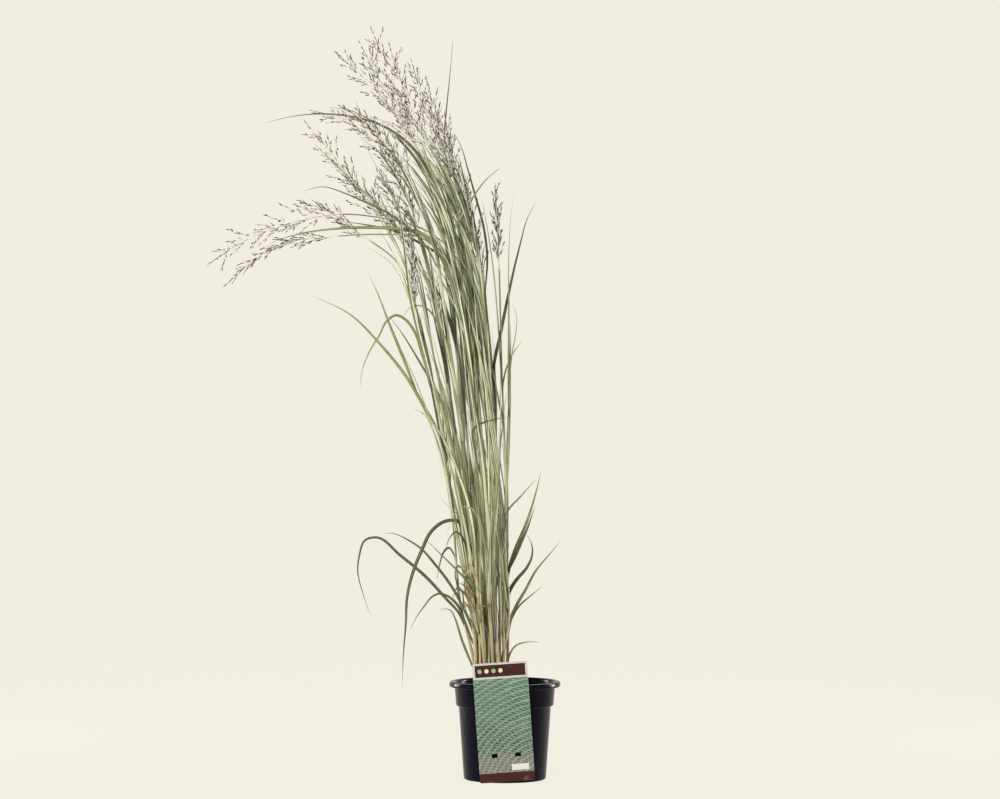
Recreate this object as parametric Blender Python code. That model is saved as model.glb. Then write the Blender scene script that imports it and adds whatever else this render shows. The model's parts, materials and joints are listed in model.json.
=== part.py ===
"""Feather reed grass in its nursery pot, at its real size, in metres.

The origin is the centre of the pot's base, +Z is up and -Y is the front, where the care label hangs.
The plant is a tuft of separate shoots. Each shoot is a round culm with blades that leave it at its
joints, and most culms end in a feathery panicle. Routes and places of the plant are in millimetres.
"""

import math
from collections import namedtuple

import bmesh
import bpy
import numpy as np
from mathutils import Matrix, Vector
from mathutils.kdtree import KDTree

MM = 0.001
CLEARANCE = 0.3

# The pot, a thin moulded nursery container of about two litres
RIM_RADIUS = 85.0
POT_HEIGHT = 150.0
LEDGE_HEIGHT = 112.0
WALL_TOP_RADIUS = 70.6
BASE_RADIUS = 63.0
COLLAR_RADIUS = 77.0
WALL = 1.4
FLOOR = 2.2
POT_SIDES = 32
DRAIN_HOLES = 6
DRAIN_HOLE_RADIUS = 5.0
DRAIN_RING_RADIUS = 38.0

# The compost that fills it
SOIL_TOP = 128.0
HOLE_DEPTH = 30.0
SOIL_FOOT = SOIL_TOP - HOLE_DEPTH

# The care label, one sheet with a tongue that hooks over the rim
LABEL_WIDTH = 83.0
LABEL_HEIGHT = 180.0
LABEL_SHEET = 0.7
LABEL_TILT = math.radians(3.9)
LABEL_CENTRE = (-2.0, 95.0)
LABEL_SLOTS = ((-17.0, -50.0), (18.5, -50.0))
LABEL_SLOT_SIZE = (9.0, 6.0)
TONGUE_WIDTH = 30.0
TONGUE_INSIDE = 71.8

# The tuft
CROWN_CENTRE = (-23.0, 0.0)
CROWN_SPACING = 4.3
CROWN_COLUMN = 5
ROUTE_START = 165.0
UPRIGHT_TOP = 140.0
FOOT_RADIUS = 2.5
CULM_RADIUS = ((0.0, FOOT_RADIUS), (250.0, 2.4), (450.0, 1.8), (750.0, 1.35), (1200.0, 1.0))
AXIS_RADIUS = 0.8
STEP = 6.0
SEAT_FADE = 40.0
SEED = 13

Shoot = namedtuple("Shoot", "depth route panicle spread blades")
Blade = namedtuple("Blade", "shoot start width depth turn route")

# Every shoot: how deep its tip lies, the points (x, height) that its culm passes from below to its tip,
# the length of its panicle (0 for a shoot of leaves), the panicle's spread, and its blades by rule.
SHOOTS = {
    1: Shoot(-12, [(-35, 395), (-60, 655), (-90, 855), (-140, 995), (-185, 1100), (-205, 1150)], 205, 34, 2),
    2: Shoot(22, [(-48, 395), (-70, 655), (-95, 850), (-140, 980), (-205, 1065), (-260, 1115)], 200, 32, 2),
    3: Shoot(52, [(-42, 395), (-65, 700), (-105, 900), (-165, 1025), (-210, 1105), (-225, 1135)], 190, 30, 1),
    4: Shoot(-50, [(-32, 395), (-60, 700), (-90, 895), (-140, 1020), (-165, 1080), (-175, 1120)], 195, 30, 1),
    5: Shoot(16, [(-25, 395), (-55, 720), (-80, 900), (-120, 1025), (-145, 1105)], 195, 28, 2),
    6: Shoot(-32, [(-15, 395), (-45, 685), (-70, 880), (-100, 995), (-120, 1070)], 190, 26, 1),
    7: Shoot(60, [(-18, 395), (-40, 655), (-65, 865), (-100, 995), (-110, 1045)], 190, 24, 2),
    8: Shoot(-8, [(-12, 395), (-30, 610), (-60, 840), (-85, 965), (-92, 1020)], 180, 22, 1),
    9: Shoot(-58, [(-5, 395), (-20, 580), (-45, 810), (-65, 910), (-80, 950)], 175, 20, 2),
    10: Shoot(34, [(-8, 395), (-25, 670), (-45, 835), (-60, 915)], 150, 20, 1),
    11: Shoot(-28, [(-75, 395), (-120, 640), (-155, 790), (-210, 885), (-265, 955), (-305, 1005)], 205, 30, 2),
    12: Shoot(34, [(-55, 395), (-85, 670), (-120, 855), (-180, 960), (-245, 1010), (-300, 1027)], 185, 24, 2),
    13: Shoot(-66, [(-52, 395), (-80, 640), (-115, 835), (-165, 950), (-225, 1010), (-250, 1025)], 170, 24, 1),
    14: Shoot(6, [(-62, 395), (-95, 655), (-130, 835), (-165, 920), (-200, 970)], 150, 20, 2),
    15: Shoot(-50, [(-60, 395), (-100, 595), (-135, 780), (-165, 875), (-195, 930)], 150, 20, 1),
    16: Shoot(62, [(-60, 395), (-90, 625), (-125, 780), (-175, 855), (-235, 915), (-258, 935)], 155, 22, 1),
    17: Shoot(24, [(-30, 395), (-50, 610), (-62, 740), (-85, 812), (-120, 840), (-190, 860), (-250, 866),
                   (-320, 855), (-400, 825), (-455, 790)], 215, 30, 1),
    18: Shoot(-36, [(-38, 395), (-55, 595), (-65, 720), (-90, 795), (-130, 828), (-185, 832), (-270, 828),
                    (-345, 815), (-385, 790), (-425, 755)], 190, 14, 1),
    19: Shoot(-6, [(-78, 395), (-105, 565), (-140, 730), (-165, 790), (-215, 830), (-280, 873), (-315, 885)],
              120, 18, 1),
    20: Shoot(0, [(2, 395), (-5, 640), (-10, 815), (-15, 910)], 125, 12, 1),
    21: Shoot(-58, [(-66, 395), (-108, 595), (-136, 735), (-141, 832)], 110, 12, 1),
    22: Shoot(68, [(-60, 395), (-85, 580), (-100, 700), (-122, 792)], 100, 14, 1),
    23: Shoot(4, [(-70, 270), (-80, 395), (-105, 520), (-135, 590)], 0, 0, 0),
    24: Shoot(-14, [(4, 300), (3, 425), (6, 560)], 0, 0, 0),
    25: Shoot(42, [(-8, 300), (2, 430), (8, 520)], 0, 0, 3),
    26: Shoot(-42, [(-18, 300), (-14, 420), (-12, 500)], 0, 0, 3),
    27: Shoot(-64, [(-42, 280), (-50, 400), (-66, 480)], 0, 0, 3),
    28: Shoot(70, [(-40, 280), (-45, 400), (-60, 490)], 0, 0, 3),
    29: Shoot(60, [(-20, 280), (-15, 380), (-12, 450)], 0, 0, 3),
    30: Shoot(-76, [(-24, 270), (-24, 350), (-26, 400)], 0, 0, 3),
    31: Shoot(78, [(-30, 260), (-34, 340), (-42, 400)], 0, 0, 3),
    32: Shoot(-30, [(0, 250), (0, 320), (1, 380)], 0, 0, 3),
    33: Shoot(30, [(-50, 260), (-58, 340), (-64, 400)], 0, 0, 3),
    34: Shoot(-46, [(-48, 250), (-54, 320), (-60, 370)], 0, 0, 3),
    35: Shoot(50, [(2, 250), (4, 320), (5, 370)], 0, 0, 3),
}

# The blades that stand out of the tuft: the shoot, the height where the blade leaves its culm, its width,
# how deep its tip lies, how far it turns about its own length, and the points (x, height) that it passes.
BLADES = [
    Blade(19, 480, 5.0, -20, 70, [(-104, 535), (-122, 567), (-150, 615), (-190, 665), (-235, 710), (-295, 740)]),
    Blade(16, 540, 4.0, 45, 60, [(-100, 585), (-125, 628), (-160, 685), (-180, 712)]),
    Blade(11, 600, 4.2, -48, 80, [(-126, 650), (-136, 682), (-150, 702), (-165, 710), (-180, 700), (-190, 680),
                                  (-205, 655), (-215, 630), (-220, 595)]),
    Blade(13, 620, 3.8, -60, 50, [(-88, 665), (-100, 692), (-110, 710), (-121, 721), (-135, 724), (-146, 719),
                                  (-155, 705)]),
    Blade(12, 335, 5.5, -34, 75, [(-60, 375), (-72, 395), (-92, 394), (-112, 379), (-126, 352), (-140, 318),
                                  (-149, 280), (-151, 240), (-155, 185), (-156, 140)]),
    Blade(23, 225, 4.8, -22, 70, [(-72, 255), (-90, 275), (-120, 308), (-160, 342), (-198, 370), (-214, 366),
                                  (-222, 345), (-225, 320), (-217, 285), (-205, 250)]),
    Blade(11, 215, 5.0, 30, 60, [(-62, 258), (-78, 290), (-105, 328), (-125, 350), (-150, 366), (-172, 375),
                                 (-190, 374)]),
    Blade(19, 195, 4.2, -36, 60, [(-62, 245), (-72, 268), (-86, 281), (-100, 285), (-111, 280), (-121, 268),
                                  (-135, 249), (-145, 228)]),
    Blade(23, 315, 4.0, 26, 50, [(-80, 345), (-87, 354), (-95, 346), (-101, 326), (-105, 303)]),
    Blade(13, 305, 4.0, -46, 50, [(-56, 345), (-65, 370), (-75, 381), (-85, 371), (-91, 350)]),
    Blade(4, 235, 4.0, -72, 30, [(-32, 275), (-55, 305), (-90, 342), (-120, 370)]),
    Blade(23, 162, 4.0, -26, 40, [(-66, 215), (-76, 247), (-82, 259), (-90, 262), (-101, 260)]),
    Blade(20, 255, 6.0, -16, 60, [(6, 325), (16, 355), (30, 388), (45, 435), (55, 476)]),
    Blade(9, 265, 6.0, -48, 70, [(0, 310), (13, 340), (25, 370), (46, 420)]),
    Blade(9, 335, 5.0, -62, 40, [(-8, 390), (5, 415), (20, 431), (46, 461)]),
    Blade(24, 235, 6.0, -20, 110, [(6, 290), (16, 306), (30, 322), (40, 345), (37, 366), (30, 376)]),
    Blade(24, 190, 5.0, 6, 60, [(7, 245), (16, 266), (30, 290), (45, 318), (65, 342), (85, 366)]),
    Blade(20, 190, 4.0, 22, 50, [(6, 240), (20, 264), (40, 281), (57, 295)]),
    Blade(24, 160, 3.5, -12, 30, [(6, 192), (14, 204), (30, 210), (51, 210)]),
    Blade(10, 565, 5.0, 18, 80, [(-17, 630), (-6, 685), (4, 735), (15, 785), (25, 825), (33, 855), (51, 890)]),
    Blade(24, 555, 4.5, 0, 70, [(6, 640), (6, 720), (6, 800), (10, 865), (15, 900)]),
    Blade(24, 480, 4.0, -24, 60, [(6, 560), (11, 650), (17, 685), (18, 708), (11, 730)]),
    Blade(20, 560, 4.0, -18, 40, [(-2, 610), (10, 648), (26, 671)]),
    Blade(4, 465, 5.0, -60, 60, [(-47, 515), (-49, 533), (-42, 542), (-30, 547), (-15, 551), (6, 555)]),
    Blade(4, 785, 4.0, -66, 60, [(-76, 842), (-58, 873), (-46, 892), (-30, 913), (-6, 933)]),
    Blade(10, 730, 4.0, 44, 70, [(-28, 810), (-35, 855), (-45, 892), (-56, 932), (-69, 975), (-81, 997)]),
    Blade(7, 855, 3.2, 34, 50, [(-88, 945), (-93, 985), (-90, 1030), (-85, 1080), (-80, 1140)]),
    Blade(2, 860, 4.0, 4, 70, [(-124, 942), (-153, 978), (-185, 1000), (-220, 1012), (-275, 1019),
                               (-325, 1015), (-370, 1004)]),
    Blade(3, 850, 4.5, 30, 60, [(-118, 935), (-148, 976), (-175, 996), (-205, 1011), (-240, 1027), (-275, 1031)]),
    Blade(13, 780, 3.6, -44, 60, [(-126, 822), (-160, 852), (-188, 870), (-215, 882), (-240, 893),
                                  (-278, 904), (-310, 896)]),
    Blade(14, 735, 3.8, 12, 50, [(-122, 795), (-137, 842), (-150, 861), (-167, 873), (-190, 880)]),
    Blade(18, 690, 6.0, -50, 80, [(-84, 775), (-104, 812), (-124, 832), (-160, 840), (-200, 842), (-255, 840),
                                  (-310, 832), (-338, 824), (-370, 808)]),
    Blade(17, 745, 4.2, 8, 60, [(-90, 795), (-128, 820), (-160, 836), (-190, 845), (-225, 851), (-260, 855)]),
    Blade(23, 585, 4.5, 2, 80, [(-160, 655), (-177, 697), (-195, 744), (-210, 776)]),
    Blade(6, 205, 4.5, -66, 70, [(-32, 255), (-44, 288), (-54, 308), (-67, 324)]),
    Blade(15, 220, 4.0, -62, 70, [(-60, 262), (-64, 290), (-70, 297), (-76, 285), (-80, 268)]),
    Blade(23, 275, 4.6, -64, 60, [(-78, 312), (-72, 326), (-57, 310), (-40, 290), (-22, 270)]),
    Blade(21, 255, 4.0, -70, 50, [(-58, 300), (-54, 318), (-46, 322), (-40, 305), (-38, 282)]),
]

# A blade starts turned this far about its own length, so that the front sees its width
FACING = 55.0

# Blades by rule
RULE_WIDTH = (4.6, 6.4)
RULE_LENGTH = (240.0, 360.0)
RULE_PARTING = (0.05, 0.12)
RULE_FALL = (0.25, 0.95)
RULE_DROOP = 2.0
RULE_ASIDE = (0.4, 0.12)
RIGHT_EDGE = -12.0
CULM_JOINTS = (215.0, 395.0, 570.0)
SHOOT_JOINTS = (190.0, 280.0, 370.0)
KEEL = 0.9
BLADE_BEND = 2.0
CULM_BEND = 1.0
AXIS_BEND = 1.4

# Panicles
BRANCHES = (6, 7)
OPEN_SPREAD = 22
SEEDED_END = 40.0
FIRST_BRANCH = 0.06
BRANCH_REACH = 2.0
SPIKELET = 11.0
SPIKELET_RADIUS = 1.15
THREAD_RADIUS = 0.4
GOLDEN_ANGLE = math.radians(137.5)

# How the tuft is combed
COMB_ROUNDS = 240
COMB_REFRESH = 8
COMB_SPARE = 1.8
COMB_SMOOTH = 42.0
ROOT_RAMP = (24.0, 12.0)
SIDEWAYS = (0.6, 1.0, 0.35)


# Curves

def along(points):
    """How far along the line each point lies."""
    steps = np.linalg.norm(np.diff(points, axis=0), axis=1)
    return np.concatenate([[0.0], np.cumsum(steps)])


def evenly(points, step):
    """The line again, with points this far apart."""
    far = along(points)
    count = max(3, int(round(far[-1] / step)) + 1)
    at = np.linspace(0.0, far[-1], count)
    return np.stack([np.interp(at, far, points[:, k]) for k in range(3)], axis=1)


def smooth_through(points, step):
    """A smooth curve through the points, with points this far apart."""
    points = np.asarray(points, float)
    far = along(points)
    slopes = np.gradient(points, far, axis=0)
    drawn = []
    for i in range(len(points) - 1):
        span = far[i + 1] - far[i]
        t = np.linspace(0.0, 1.0, 16, endpoint=i == len(points) - 2)[:, None]
        drawn.append(
            (2 * t**3 - 3 * t**2 + 1) * points[i]
            + (t**3 - 2 * t**2 + t) * span * slopes[i]
            + (3 * t**2 - 2 * t**3) * points[i + 1]
            + (t**3 - t**2) * span * slopes[i + 1]
        )
    return evenly(np.concatenate(drawn), step)


def tangents(points):
    ahead = np.gradient(points, axis=0)
    return ahead / np.linalg.norm(ahead, axis=1)[:, None]


def carried(points, across):
    """The direction across the line at each point, carried along it without turning about it."""
    found = []
    for ahead in tangents(points):
        across = across - ahead * (across @ ahead)
        across = across / np.linalg.norm(across)
        found.append(across)
    return np.array(found)


def bends(points, tolerance, always=()):
    """The few points that keep the line's shape to within the tolerance, with some kept always."""
    keep = sorted({0, len(points) - 1, *always})
    spans = list(zip(keep, keep[1:]))
    while spans:
        a, b = spans.pop()
        if b - a < 2:
            continue
        chord = points[b] - points[a]
        share = np.clip((points[a:b + 1] - points[a]) @ chord / (chord @ chord), 0, 1)
        off = np.linalg.norm(points[a:b + 1] - points[a] - share[:, None] * chord, axis=1)
        far = int(np.argmax(off))
        if off[far] > tolerance:
            keep.append(a + far)
            spans += [(a, a + far), (a + far, b)]
    return sorted(keep)


def seated(line, parent_line, kept, root):
    """The line, shifted near its root so that it starts on its parent as the parent is built."""
    far = along(parent_line)
    start = np.array([np.interp(far[root], far[kept], parent_line[kept][:, k]) for k in range(3)])
    fade = np.clip(1.0 - np.arange(len(line)) * STEP / SEAT_FADE, 0, 1)
    return line + fade[:, None] * (start - line[0])


# Meshes

def material(name, colour, roughness):
    made = bpy.data.materials.new(name)
    made.use_nodes = True
    shader = made.node_tree.nodes["Principled BSDF"]
    shader.inputs["Base Color"].default_value = (*colour, 1.0)
    shader.inputs["Roughness"].default_value = roughness
    return made


def solid(name, points, faces, look=None, smooth=False):
    """An object from points in millimetres."""
    mesh = bpy.data.meshes.new(name)
    mesh.from_pydata([Vector(p) * MM for p in points], [], faces)
    made = bmesh.new()
    made.from_mesh(mesh)
    bmesh.ops.triangulate(made, faces=[f for f in made.faces if len(f.verts) > 4])
    bmesh.ops.recalc_face_normals(made, faces=made.faces)
    made.to_mesh(mesh)
    made.free()
    if look:
        mesh.materials.append(look)
    if smooth:
        mesh.shade_smooth()
        mesh.set_sharp_from_angle(angle=math.radians(35))
    made = bpy.data.objects.new(name, mesh)
    bpy.context.scene.collection.objects.link(made)
    return made


def folded_out(points, corners, turning):
    """Two triangles over four corners, folded outwards so that the thin walls of a twist stay apart."""
    a, b, c, d = corners
    normal = np.cross(points[b] - points[a], points[c] - points[a])
    if normal @ (points[d] - points[a]) * turning <= 0:
        return [(a, b, c), (a, c, d)]
    return [(a, b, d), (b, c, d)]


def skinned(rings, tip=None):
    """Points and faces of a closed skin over rings of points, all with as many points, and a pointed end."""
    sides = len(rings[0])
    points = [np.asarray(p, float) for ring in rings for p in ring]
    forwards = points[sides] - points[0]
    turning = np.sign(np.cross(points[1] - points[0], points[2] - points[0]) @ forwards)
    faces = [tuple(range(sides))]
    for i in range(len(rings) - 1):
        for k in range(sides):
            a, b = i * sides + k, i * sides + (k + 1) % sides
            faces += folded_out(points, (a, b, b + sides, a + sides), turning)
    last = (len(rings) - 1) * sides
    if tip is None:
        faces.append(tuple(range(last, last + sides)))
        return points, faces
    points.append(tip)
    faces += [(last + k, last + (k + 1) % sides, len(points) - 1) for k in range(sides)]
    return points, faces


def turned(profile, sides):
    """Points and faces of a profile of (radius, height), from the axis back to the axis, turned round it."""
    points, rings, faces = [], [], []
    for radius, height in profile:
        if radius == 0:
            rings.append([len(points)] * sides)
            points.append((0, 0, height))
            continue
        rings.append(list(range(len(points), len(points) + sides)))
        for k in range(sides):
            angle = 2 * math.pi * k / sides
            points.append((radius * math.cos(angle), radius * math.sin(angle), height))
    for low, high in zip(rings, rings[1:]):
        for k in range(sides):
            corners = [low[k], low[(k + 1) % sides], high[(k + 1) % sides], high[k]]
            faces.append(tuple(dict.fromkeys(corners)))
    return points, faces


def block(name, low, high):
    """A box between two corners."""
    corners = [(x, y, z) for x in (low[0], high[0]) for y in (low[1], high[1]) for z in (low[2], high[2])]
    faces = [(0, 1, 3, 2), (4, 6, 7, 5), (0, 4, 5, 1), (2, 3, 7, 6), (0, 2, 6, 4), (1, 5, 7, 3)]
    return solid(name, corners, faces)


def combined(base, others, operation, smooth=False):
    """The base joined with the others, or cut by them, in one step, after which the others are removed."""
    if not others:
        return base
    group = bpy.data.collections.new("repeats")
    bpy.context.scene.collection.children.link(group)
    for piece in others:
        bpy.context.scene.collection.objects.unlink(piece)
        group.objects.link(piece)
    join = base.modifiers.new("join", "BOOLEAN")
    join.operation = operation
    join.operand_type = "COLLECTION"
    join.collection = group
    join.solver = "MANIFOLD"
    graph = bpy.context.evaluated_depsgraph_get()
    graph.update()
    made = bpy.data.meshes.new_from_object(base.evaluated_get(graph), depsgraph=graph)
    base.modifiers.remove(join)
    base.data = made
    if smooth:
        made.shade_smooth()
        made.set_sharp_from_angle(angle=math.radians(35))
    for piece in others:
        bpy.data.objects.remove(piece)
    bpy.data.collections.remove(group)
    return base


# The pot, compost and label

def inside_of_pot(gap=0.0):
    """The pot's inner wall from its rim down to its floor, drawn in by a gap."""
    collar, lower = WALL_TOP_RADIUS + 4.0 - WALL - gap, WALL_TOP_RADIUS - WALL - gap
    floor = BASE_RADIUS - WALL - gap
    return [
        (collar + 2.2, POT_HEIGHT - 2.5), (collar + 0.2, LEDGE_HEIGHT + 3.0 + gap),
        (lower, LEDGE_HEIGHT - 0.2 + gap), (floor + 0.4, FLOOR + 4.0 + gap), (floor - 3.0, FLOOR + gap),
    ]


def pot(look):
    """A thin wall with a ledge below the collar, a rolled rim, a flat base and holes to drain it."""
    profile = [
        (0, 0), (BASE_RADIUS - 2.0, 0), (BASE_RADIUS, 2.0),
        (WALL_TOP_RADIUS, LEDGE_HEIGHT), (WALL_TOP_RADIUS + 4.0, LEDGE_HEIGHT + 1.2),
        (COLLAR_RADIUS, POT_HEIGHT - 8.5), (RIM_RADIUS - 1.6, POT_HEIGHT - 8.5),
        (RIM_RADIUS, POT_HEIGHT - 7.0), (RIM_RADIUS, POT_HEIGHT - 2.0), (RIM_RADIUS - 2.0, POT_HEIGHT),
        (COLLAR_RADIUS + 1.0, POT_HEIGHT), *inside_of_pot(), (0, FLOOR),
    ]
    made = solid("pot", *turned(profile, POT_SIDES), look)
    drains = []
    for k in range(DRAIN_HOLES):
        angle = 2 * math.pi * (k + 0.5) / DRAIN_HOLES
        centre = (DRAIN_RING_RADIUS * math.cos(angle), DRAIN_RING_RADIUS * math.sin(angle))
        drains.append(upright_prism("drain", centre, DRAIN_HOLE_RADIUS, -5, FLOOR + 5, 8))
    return combined(made, drains, "DIFFERENCE", smooth=True)


def upright_prism(name, centre, radius, low, high, sides):
    rings = [
        [(centre[0] + radius * math.cos(2 * math.pi * k / sides),
          centre[1] + radius * math.sin(2 * math.pi * k / sides), z) for k in range(sides)]
        for z in (low, high)
    ]
    return solid(name, *skinned(rings))


def soil(feet, look):
    """The compost, with a plain hole for each shoot."""
    _, (collar, shelf), *below = inside_of_pot(CLEARANCE)
    top = collar + (SOIL_TOP - shelf) * 0.06
    profile = [(0, SOIL_TOP), (top - 6.0, SOIL_TOP), (top, SOIL_TOP - 2.0), (collar, shelf), *below]
    profile.append((0, below[-1][1]))
    made = solid("soil", *turned(profile, POT_SIDES), look)
    radius = (FOOT_RADIUS + CLEARANCE) / math.cos(math.pi / 6)
    holes = [
        upright_prism("hole", foot, radius, SOIL_FOOT - CLEARANCE, SOIL_TOP + 5, 6) for foot in feet
    ]
    return combined(made, holes, "DIFFERENCE")


def label(look):
    """A flat sheet that leans a little, with a tongue behind it that hooks over the rim."""
    half, tall = LABEL_WIDTH / 2, LABEL_HEIGHT / 2
    front, back = -RIM_RADIUS - CLEARANCE - LABEL_SHEET, -RIM_RADIUS - CLEARANCE
    made = block("label", (-half, front, -tall), (half, back, tall))
    slots = []
    for across, up in LABEL_SLOTS:
        wide, high = LABEL_SLOT_SIZE[0] / 2, LABEL_SLOT_SIZE[1] / 2
        slots.append(block("slot", (across - wide, front - 5, up - high), (across + wide, back + 5, up + high)))
    made = combined(made, slots, "DIFFERENCE")
    lean = Matrix.Rotation(-LABEL_TILT, 4, "Y")
    made.data.transform(Matrix.Translation((LABEL_CENTRE[0] * MM, 0, LABEL_CENTRE[1] * MM)) @ lean)
    top = POT_HEIGHT + CLEARANCE
    wide = TONGUE_WIDTH / 2
    over = block("tongue", (-wide, front + 0.2, top), (wide, -TONGUE_INSIDE + LABEL_SHEET, top + LABEL_SHEET))
    down = block("hook", (-wide, -TONGUE_INSIDE, SOIL_TOP + 1), (wide, -TONGUE_INSIDE + LABEL_SHEET, top + 0.3))
    made = combined(made, [over, down], "UNION")
    made.data.materials.clear()
    made.data.materials.append(look)
    return made


# The tuft's lines

class Strand:
    """One culm, blade or branch: its line, how far it reaches to each side of it, and what it grows from."""

    def __init__(self, kind, node, points, reach, parent=None, root=0):
        self.kind, self.node, self.points = kind, node, points
        self.reach = np.full(len(points), float(reach)) if np.isscalar(reach) else np.asarray(reach, float)
        self.parent, self.root = parent, root
        self.nodes = np.full(len(points), node)
        self.width, self.facing, self.turn, self.spread = 0.0, 0.0, 0.0, 0.0


def crown_spots(count):
    """Places on the soil, spaced as seeds are in a sunflower."""
    spots = []
    for k in range(count):
        out, angle = CROWN_SPACING * math.sqrt(k + 0.5), k * GOLDEN_ANGLE
        spots.append((CROWN_CENTRE[0] + out * math.cos(angle), CROWN_CENTRE[1] + out * math.sin(angle)))
    return spots


def in_columns(items, across, deep):
    """The items in columns from left to right, each from front to back."""
    ordered = sorted(items, key=across)
    found = []
    for k in range(0, len(ordered), CROWN_COLUMN):
        found += sorted(ordered[k:k + CROWN_COLUMN], key=deep)
    return found


def feet_of_shoots():
    """Every shoot's own spot: left shoots stand left in the crown, and front shoots stand in front."""
    shoots = in_columns(SHOOTS, lambda n: SHOOTS[n].route[0][0], lambda n: SHOOTS[n].depth)
    spots = in_columns(crown_spots(len(SHOOTS)), lambda s: s[0], lambda s: s[1])
    return dict(zip(shoots, spots))


def culm_reach(points):
    heights, radii = zip(*CULM_RADIUS)
    return np.interp(points[:, 2], heights, radii)


def culm(number, foot):
    shoot = SHOOTS[number]
    top = shoot.route[-1][1]
    points = [(foot[0], foot[1], SOIL_FOOT), (foot[0], foot[1], SOIL_TOP), (foot[0], foot[1], ROUTE_START)]
    for across, up in shoot.route:
        share = ((up - SOIL_TOP) / (top - SOIL_TOP)) ** 1.2 if up < top else 1.0
        points.append((across, foot[1] + (shoot.depth - foot[1]) * share, up))
    line = smooth_through(points, STEP)
    made = Strand("culm", number, line, culm_reach(line))
    left = along(line)[-1] - along(line)
    if shoot.panicle:
        made.nodes[left <= shoot.panicle] = 100 + number
    made.spread = shoot.spread
    return made


def blade_width(share, width):
    """A blade is widest a quarter of the way along, and tapers to its tip."""
    swell = np.minimum(1.0, 0.6 + 1.8 * share)
    taper = 1.0 - np.clip((share - 0.3) / 0.7, 0, 1) ** 1.7
    return np.maximum(0.9, width * swell * taper)


def blade_strand(culm_strand, root, line, width, facing, turn):
    share = np.linspace(0.0, 1.0, len(line))
    made = Strand("blade", culm_strand.node, line, blade_width(share, width) / 2, culm_strand, root)
    made.width, made.facing, made.turn = width, math.radians(facing), math.radians(turn)
    return made


def standing_out(blade, culm_strand):
    """A blade of the list, along its own points."""
    root = int(np.argmin(np.abs(culm_strand.points[:, 2] - blade.start)))
    start = culm_strand.points[root]
    ends = [start]
    for k, (across, up) in enumerate(blade.route):
        share = (k + 1) / len(blade.route)
        ends.append(np.array((across, start[1] + (blade.depth - start[1]) * share, up)))
    line = smooth_through(ends, STEP)
    return blade_strand(culm_strand, root, line, blade.width, FACING, blade.turn)


def by_rule(culm_strand, joint, number, random):
    """A blade that rises beside its own culm and parts from it, mostly forwards or backwards."""
    points = culm_strand.points
    root = int(np.argmin(np.abs(points[:, 2] - joint)))
    start = points[root]
    high = min(1.0, start[2] / 600.0)
    angle = GOLDEN_ANGLE * number
    aside = RULE_ASIDE[0] + (RULE_ASIDE[1] - RULE_ASIDE[0]) * high
    inwards = 0.3 if start[0] > RIGHT_EDGE else 0.0
    heading = np.array((math.cos(angle) * aside - 0.25 * high - inwards, math.sin(angle), 0.0))
    length = random.uniform(*RULE_LENGTH)
    parting = random.uniform(*RULE_PARTING)
    fall = random.uniform(*RULE_FALL) * (1.0 - 0.55 * high)
    droop = np.array((0.0, 0.0, random.uniform(0.0, RULE_DROOP) * (1.0 - high)))
    line, ahead = [start], tangents(points)
    count = int(length / STEP)
    for k in range(count):
        share = k / count
        rising = ahead[min(root + k, len(ahead) - 1)]
        direction = rising + heading * (parting + fall * share**2) - droop * share**2
        line.append(line[-1] + STEP * direction / np.linalg.norm(direction))
    width = random.uniform(*RULE_WIDTH)
    facing = random.uniform(-FACING, FACING)
    turn = random.choice((-1, 1)) * random.uniform(40, 110)
    return blade_strand(culm_strand, root, np.array(line), width, facing, turn)


def branches(culm_strand, number):
    """A panicle's side branches, which leave its axis all round it and grow shorter towards its tip."""
    points, first = culm_strand.points, int(np.argmax(culm_strand.nodes > 100))
    axis = points[first:]
    ahead = tangents(axis)
    across = carried(axis, np.array((0.0, 1.0, 0.0)))
    made = []
    many = BRANCHES[culm_strand.spread > OPEN_SPREAD]
    last = 1.0 - (SEEDED_END + STEP) / along(axis)[-1]
    for k in range(many):
        share = FIRST_BRANCH + (last - FIRST_BRANCH) * k / (many - 1)
        at = int(share * (len(axis) - 1))
        angle = GOLDEN_ANGLE * k + number
        out = math.cos(angle) * across[at] + math.sin(angle) * np.cross(ahead[at], across[at])
        slope = 0.30 + 0.011 * culm_strand.spread
        length = (20.0 + 1.1 * culm_strand.spread) * (1.0 - 0.55 * share)
        count = max(3, int(round(length / STEP)))
        line = [axis[at]]
        for step in range(count):
            direction = ahead[at] + out * slope * (0.6 + 0.5 * step / count)
            line.append(line[-1] + STEP * direction / np.linalg.norm(direction))
        made.append(Strand("branch", 100 + number, np.array(line), BRANCH_REACH, culm_strand, first + at))
    return made


def grown():
    """Every strand of the tuft, each after the one that it grows from."""
    random = np.random.default_rng(SEED)
    feet = feet_of_shoots()
    culms = {n: culm(n, feet[n]) for n in SHOOTS}
    strands = list(culms.values())
    strands += [standing_out(blade, culms[blade.shoot]) for blade in BLADES]
    for number, shoot in SHOOTS.items():
        joints = CULM_JOINTS if shoot.panicle else SHOOT_JOINTS
        for rank in range(shoot.blades):
            joint = joints[-1 - rank] + random.uniform(-45, 45)
            joint = min(joint, shoot.route[-1][1] - 20)
            strands.append(by_rule(culms[number], joint, len(strands), random))
        if shoot.panicle:
            strands += branches(culms[number], number)
    return strands


# Combing: every strand is bent clear of the strands of other shoots

def near_pairs(points, nodes, lines, within):
    """Pairs of points of different shoots that lie within a distance of each other."""
    tree = KDTree(len(points))
    for k, point in enumerate(points):
        tree.insert(point, k)
    tree.balance()
    first, second = [], []
    for k, point in enumerate(points):
        for _, other, _ in tree.find_range(point, within):
            if other > k and nodes[other] != nodes[k] and lines[other] != lines[k]:
                first.append(k)
                second.append(other)
    return np.array(first, int), np.array(second, int)


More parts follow.
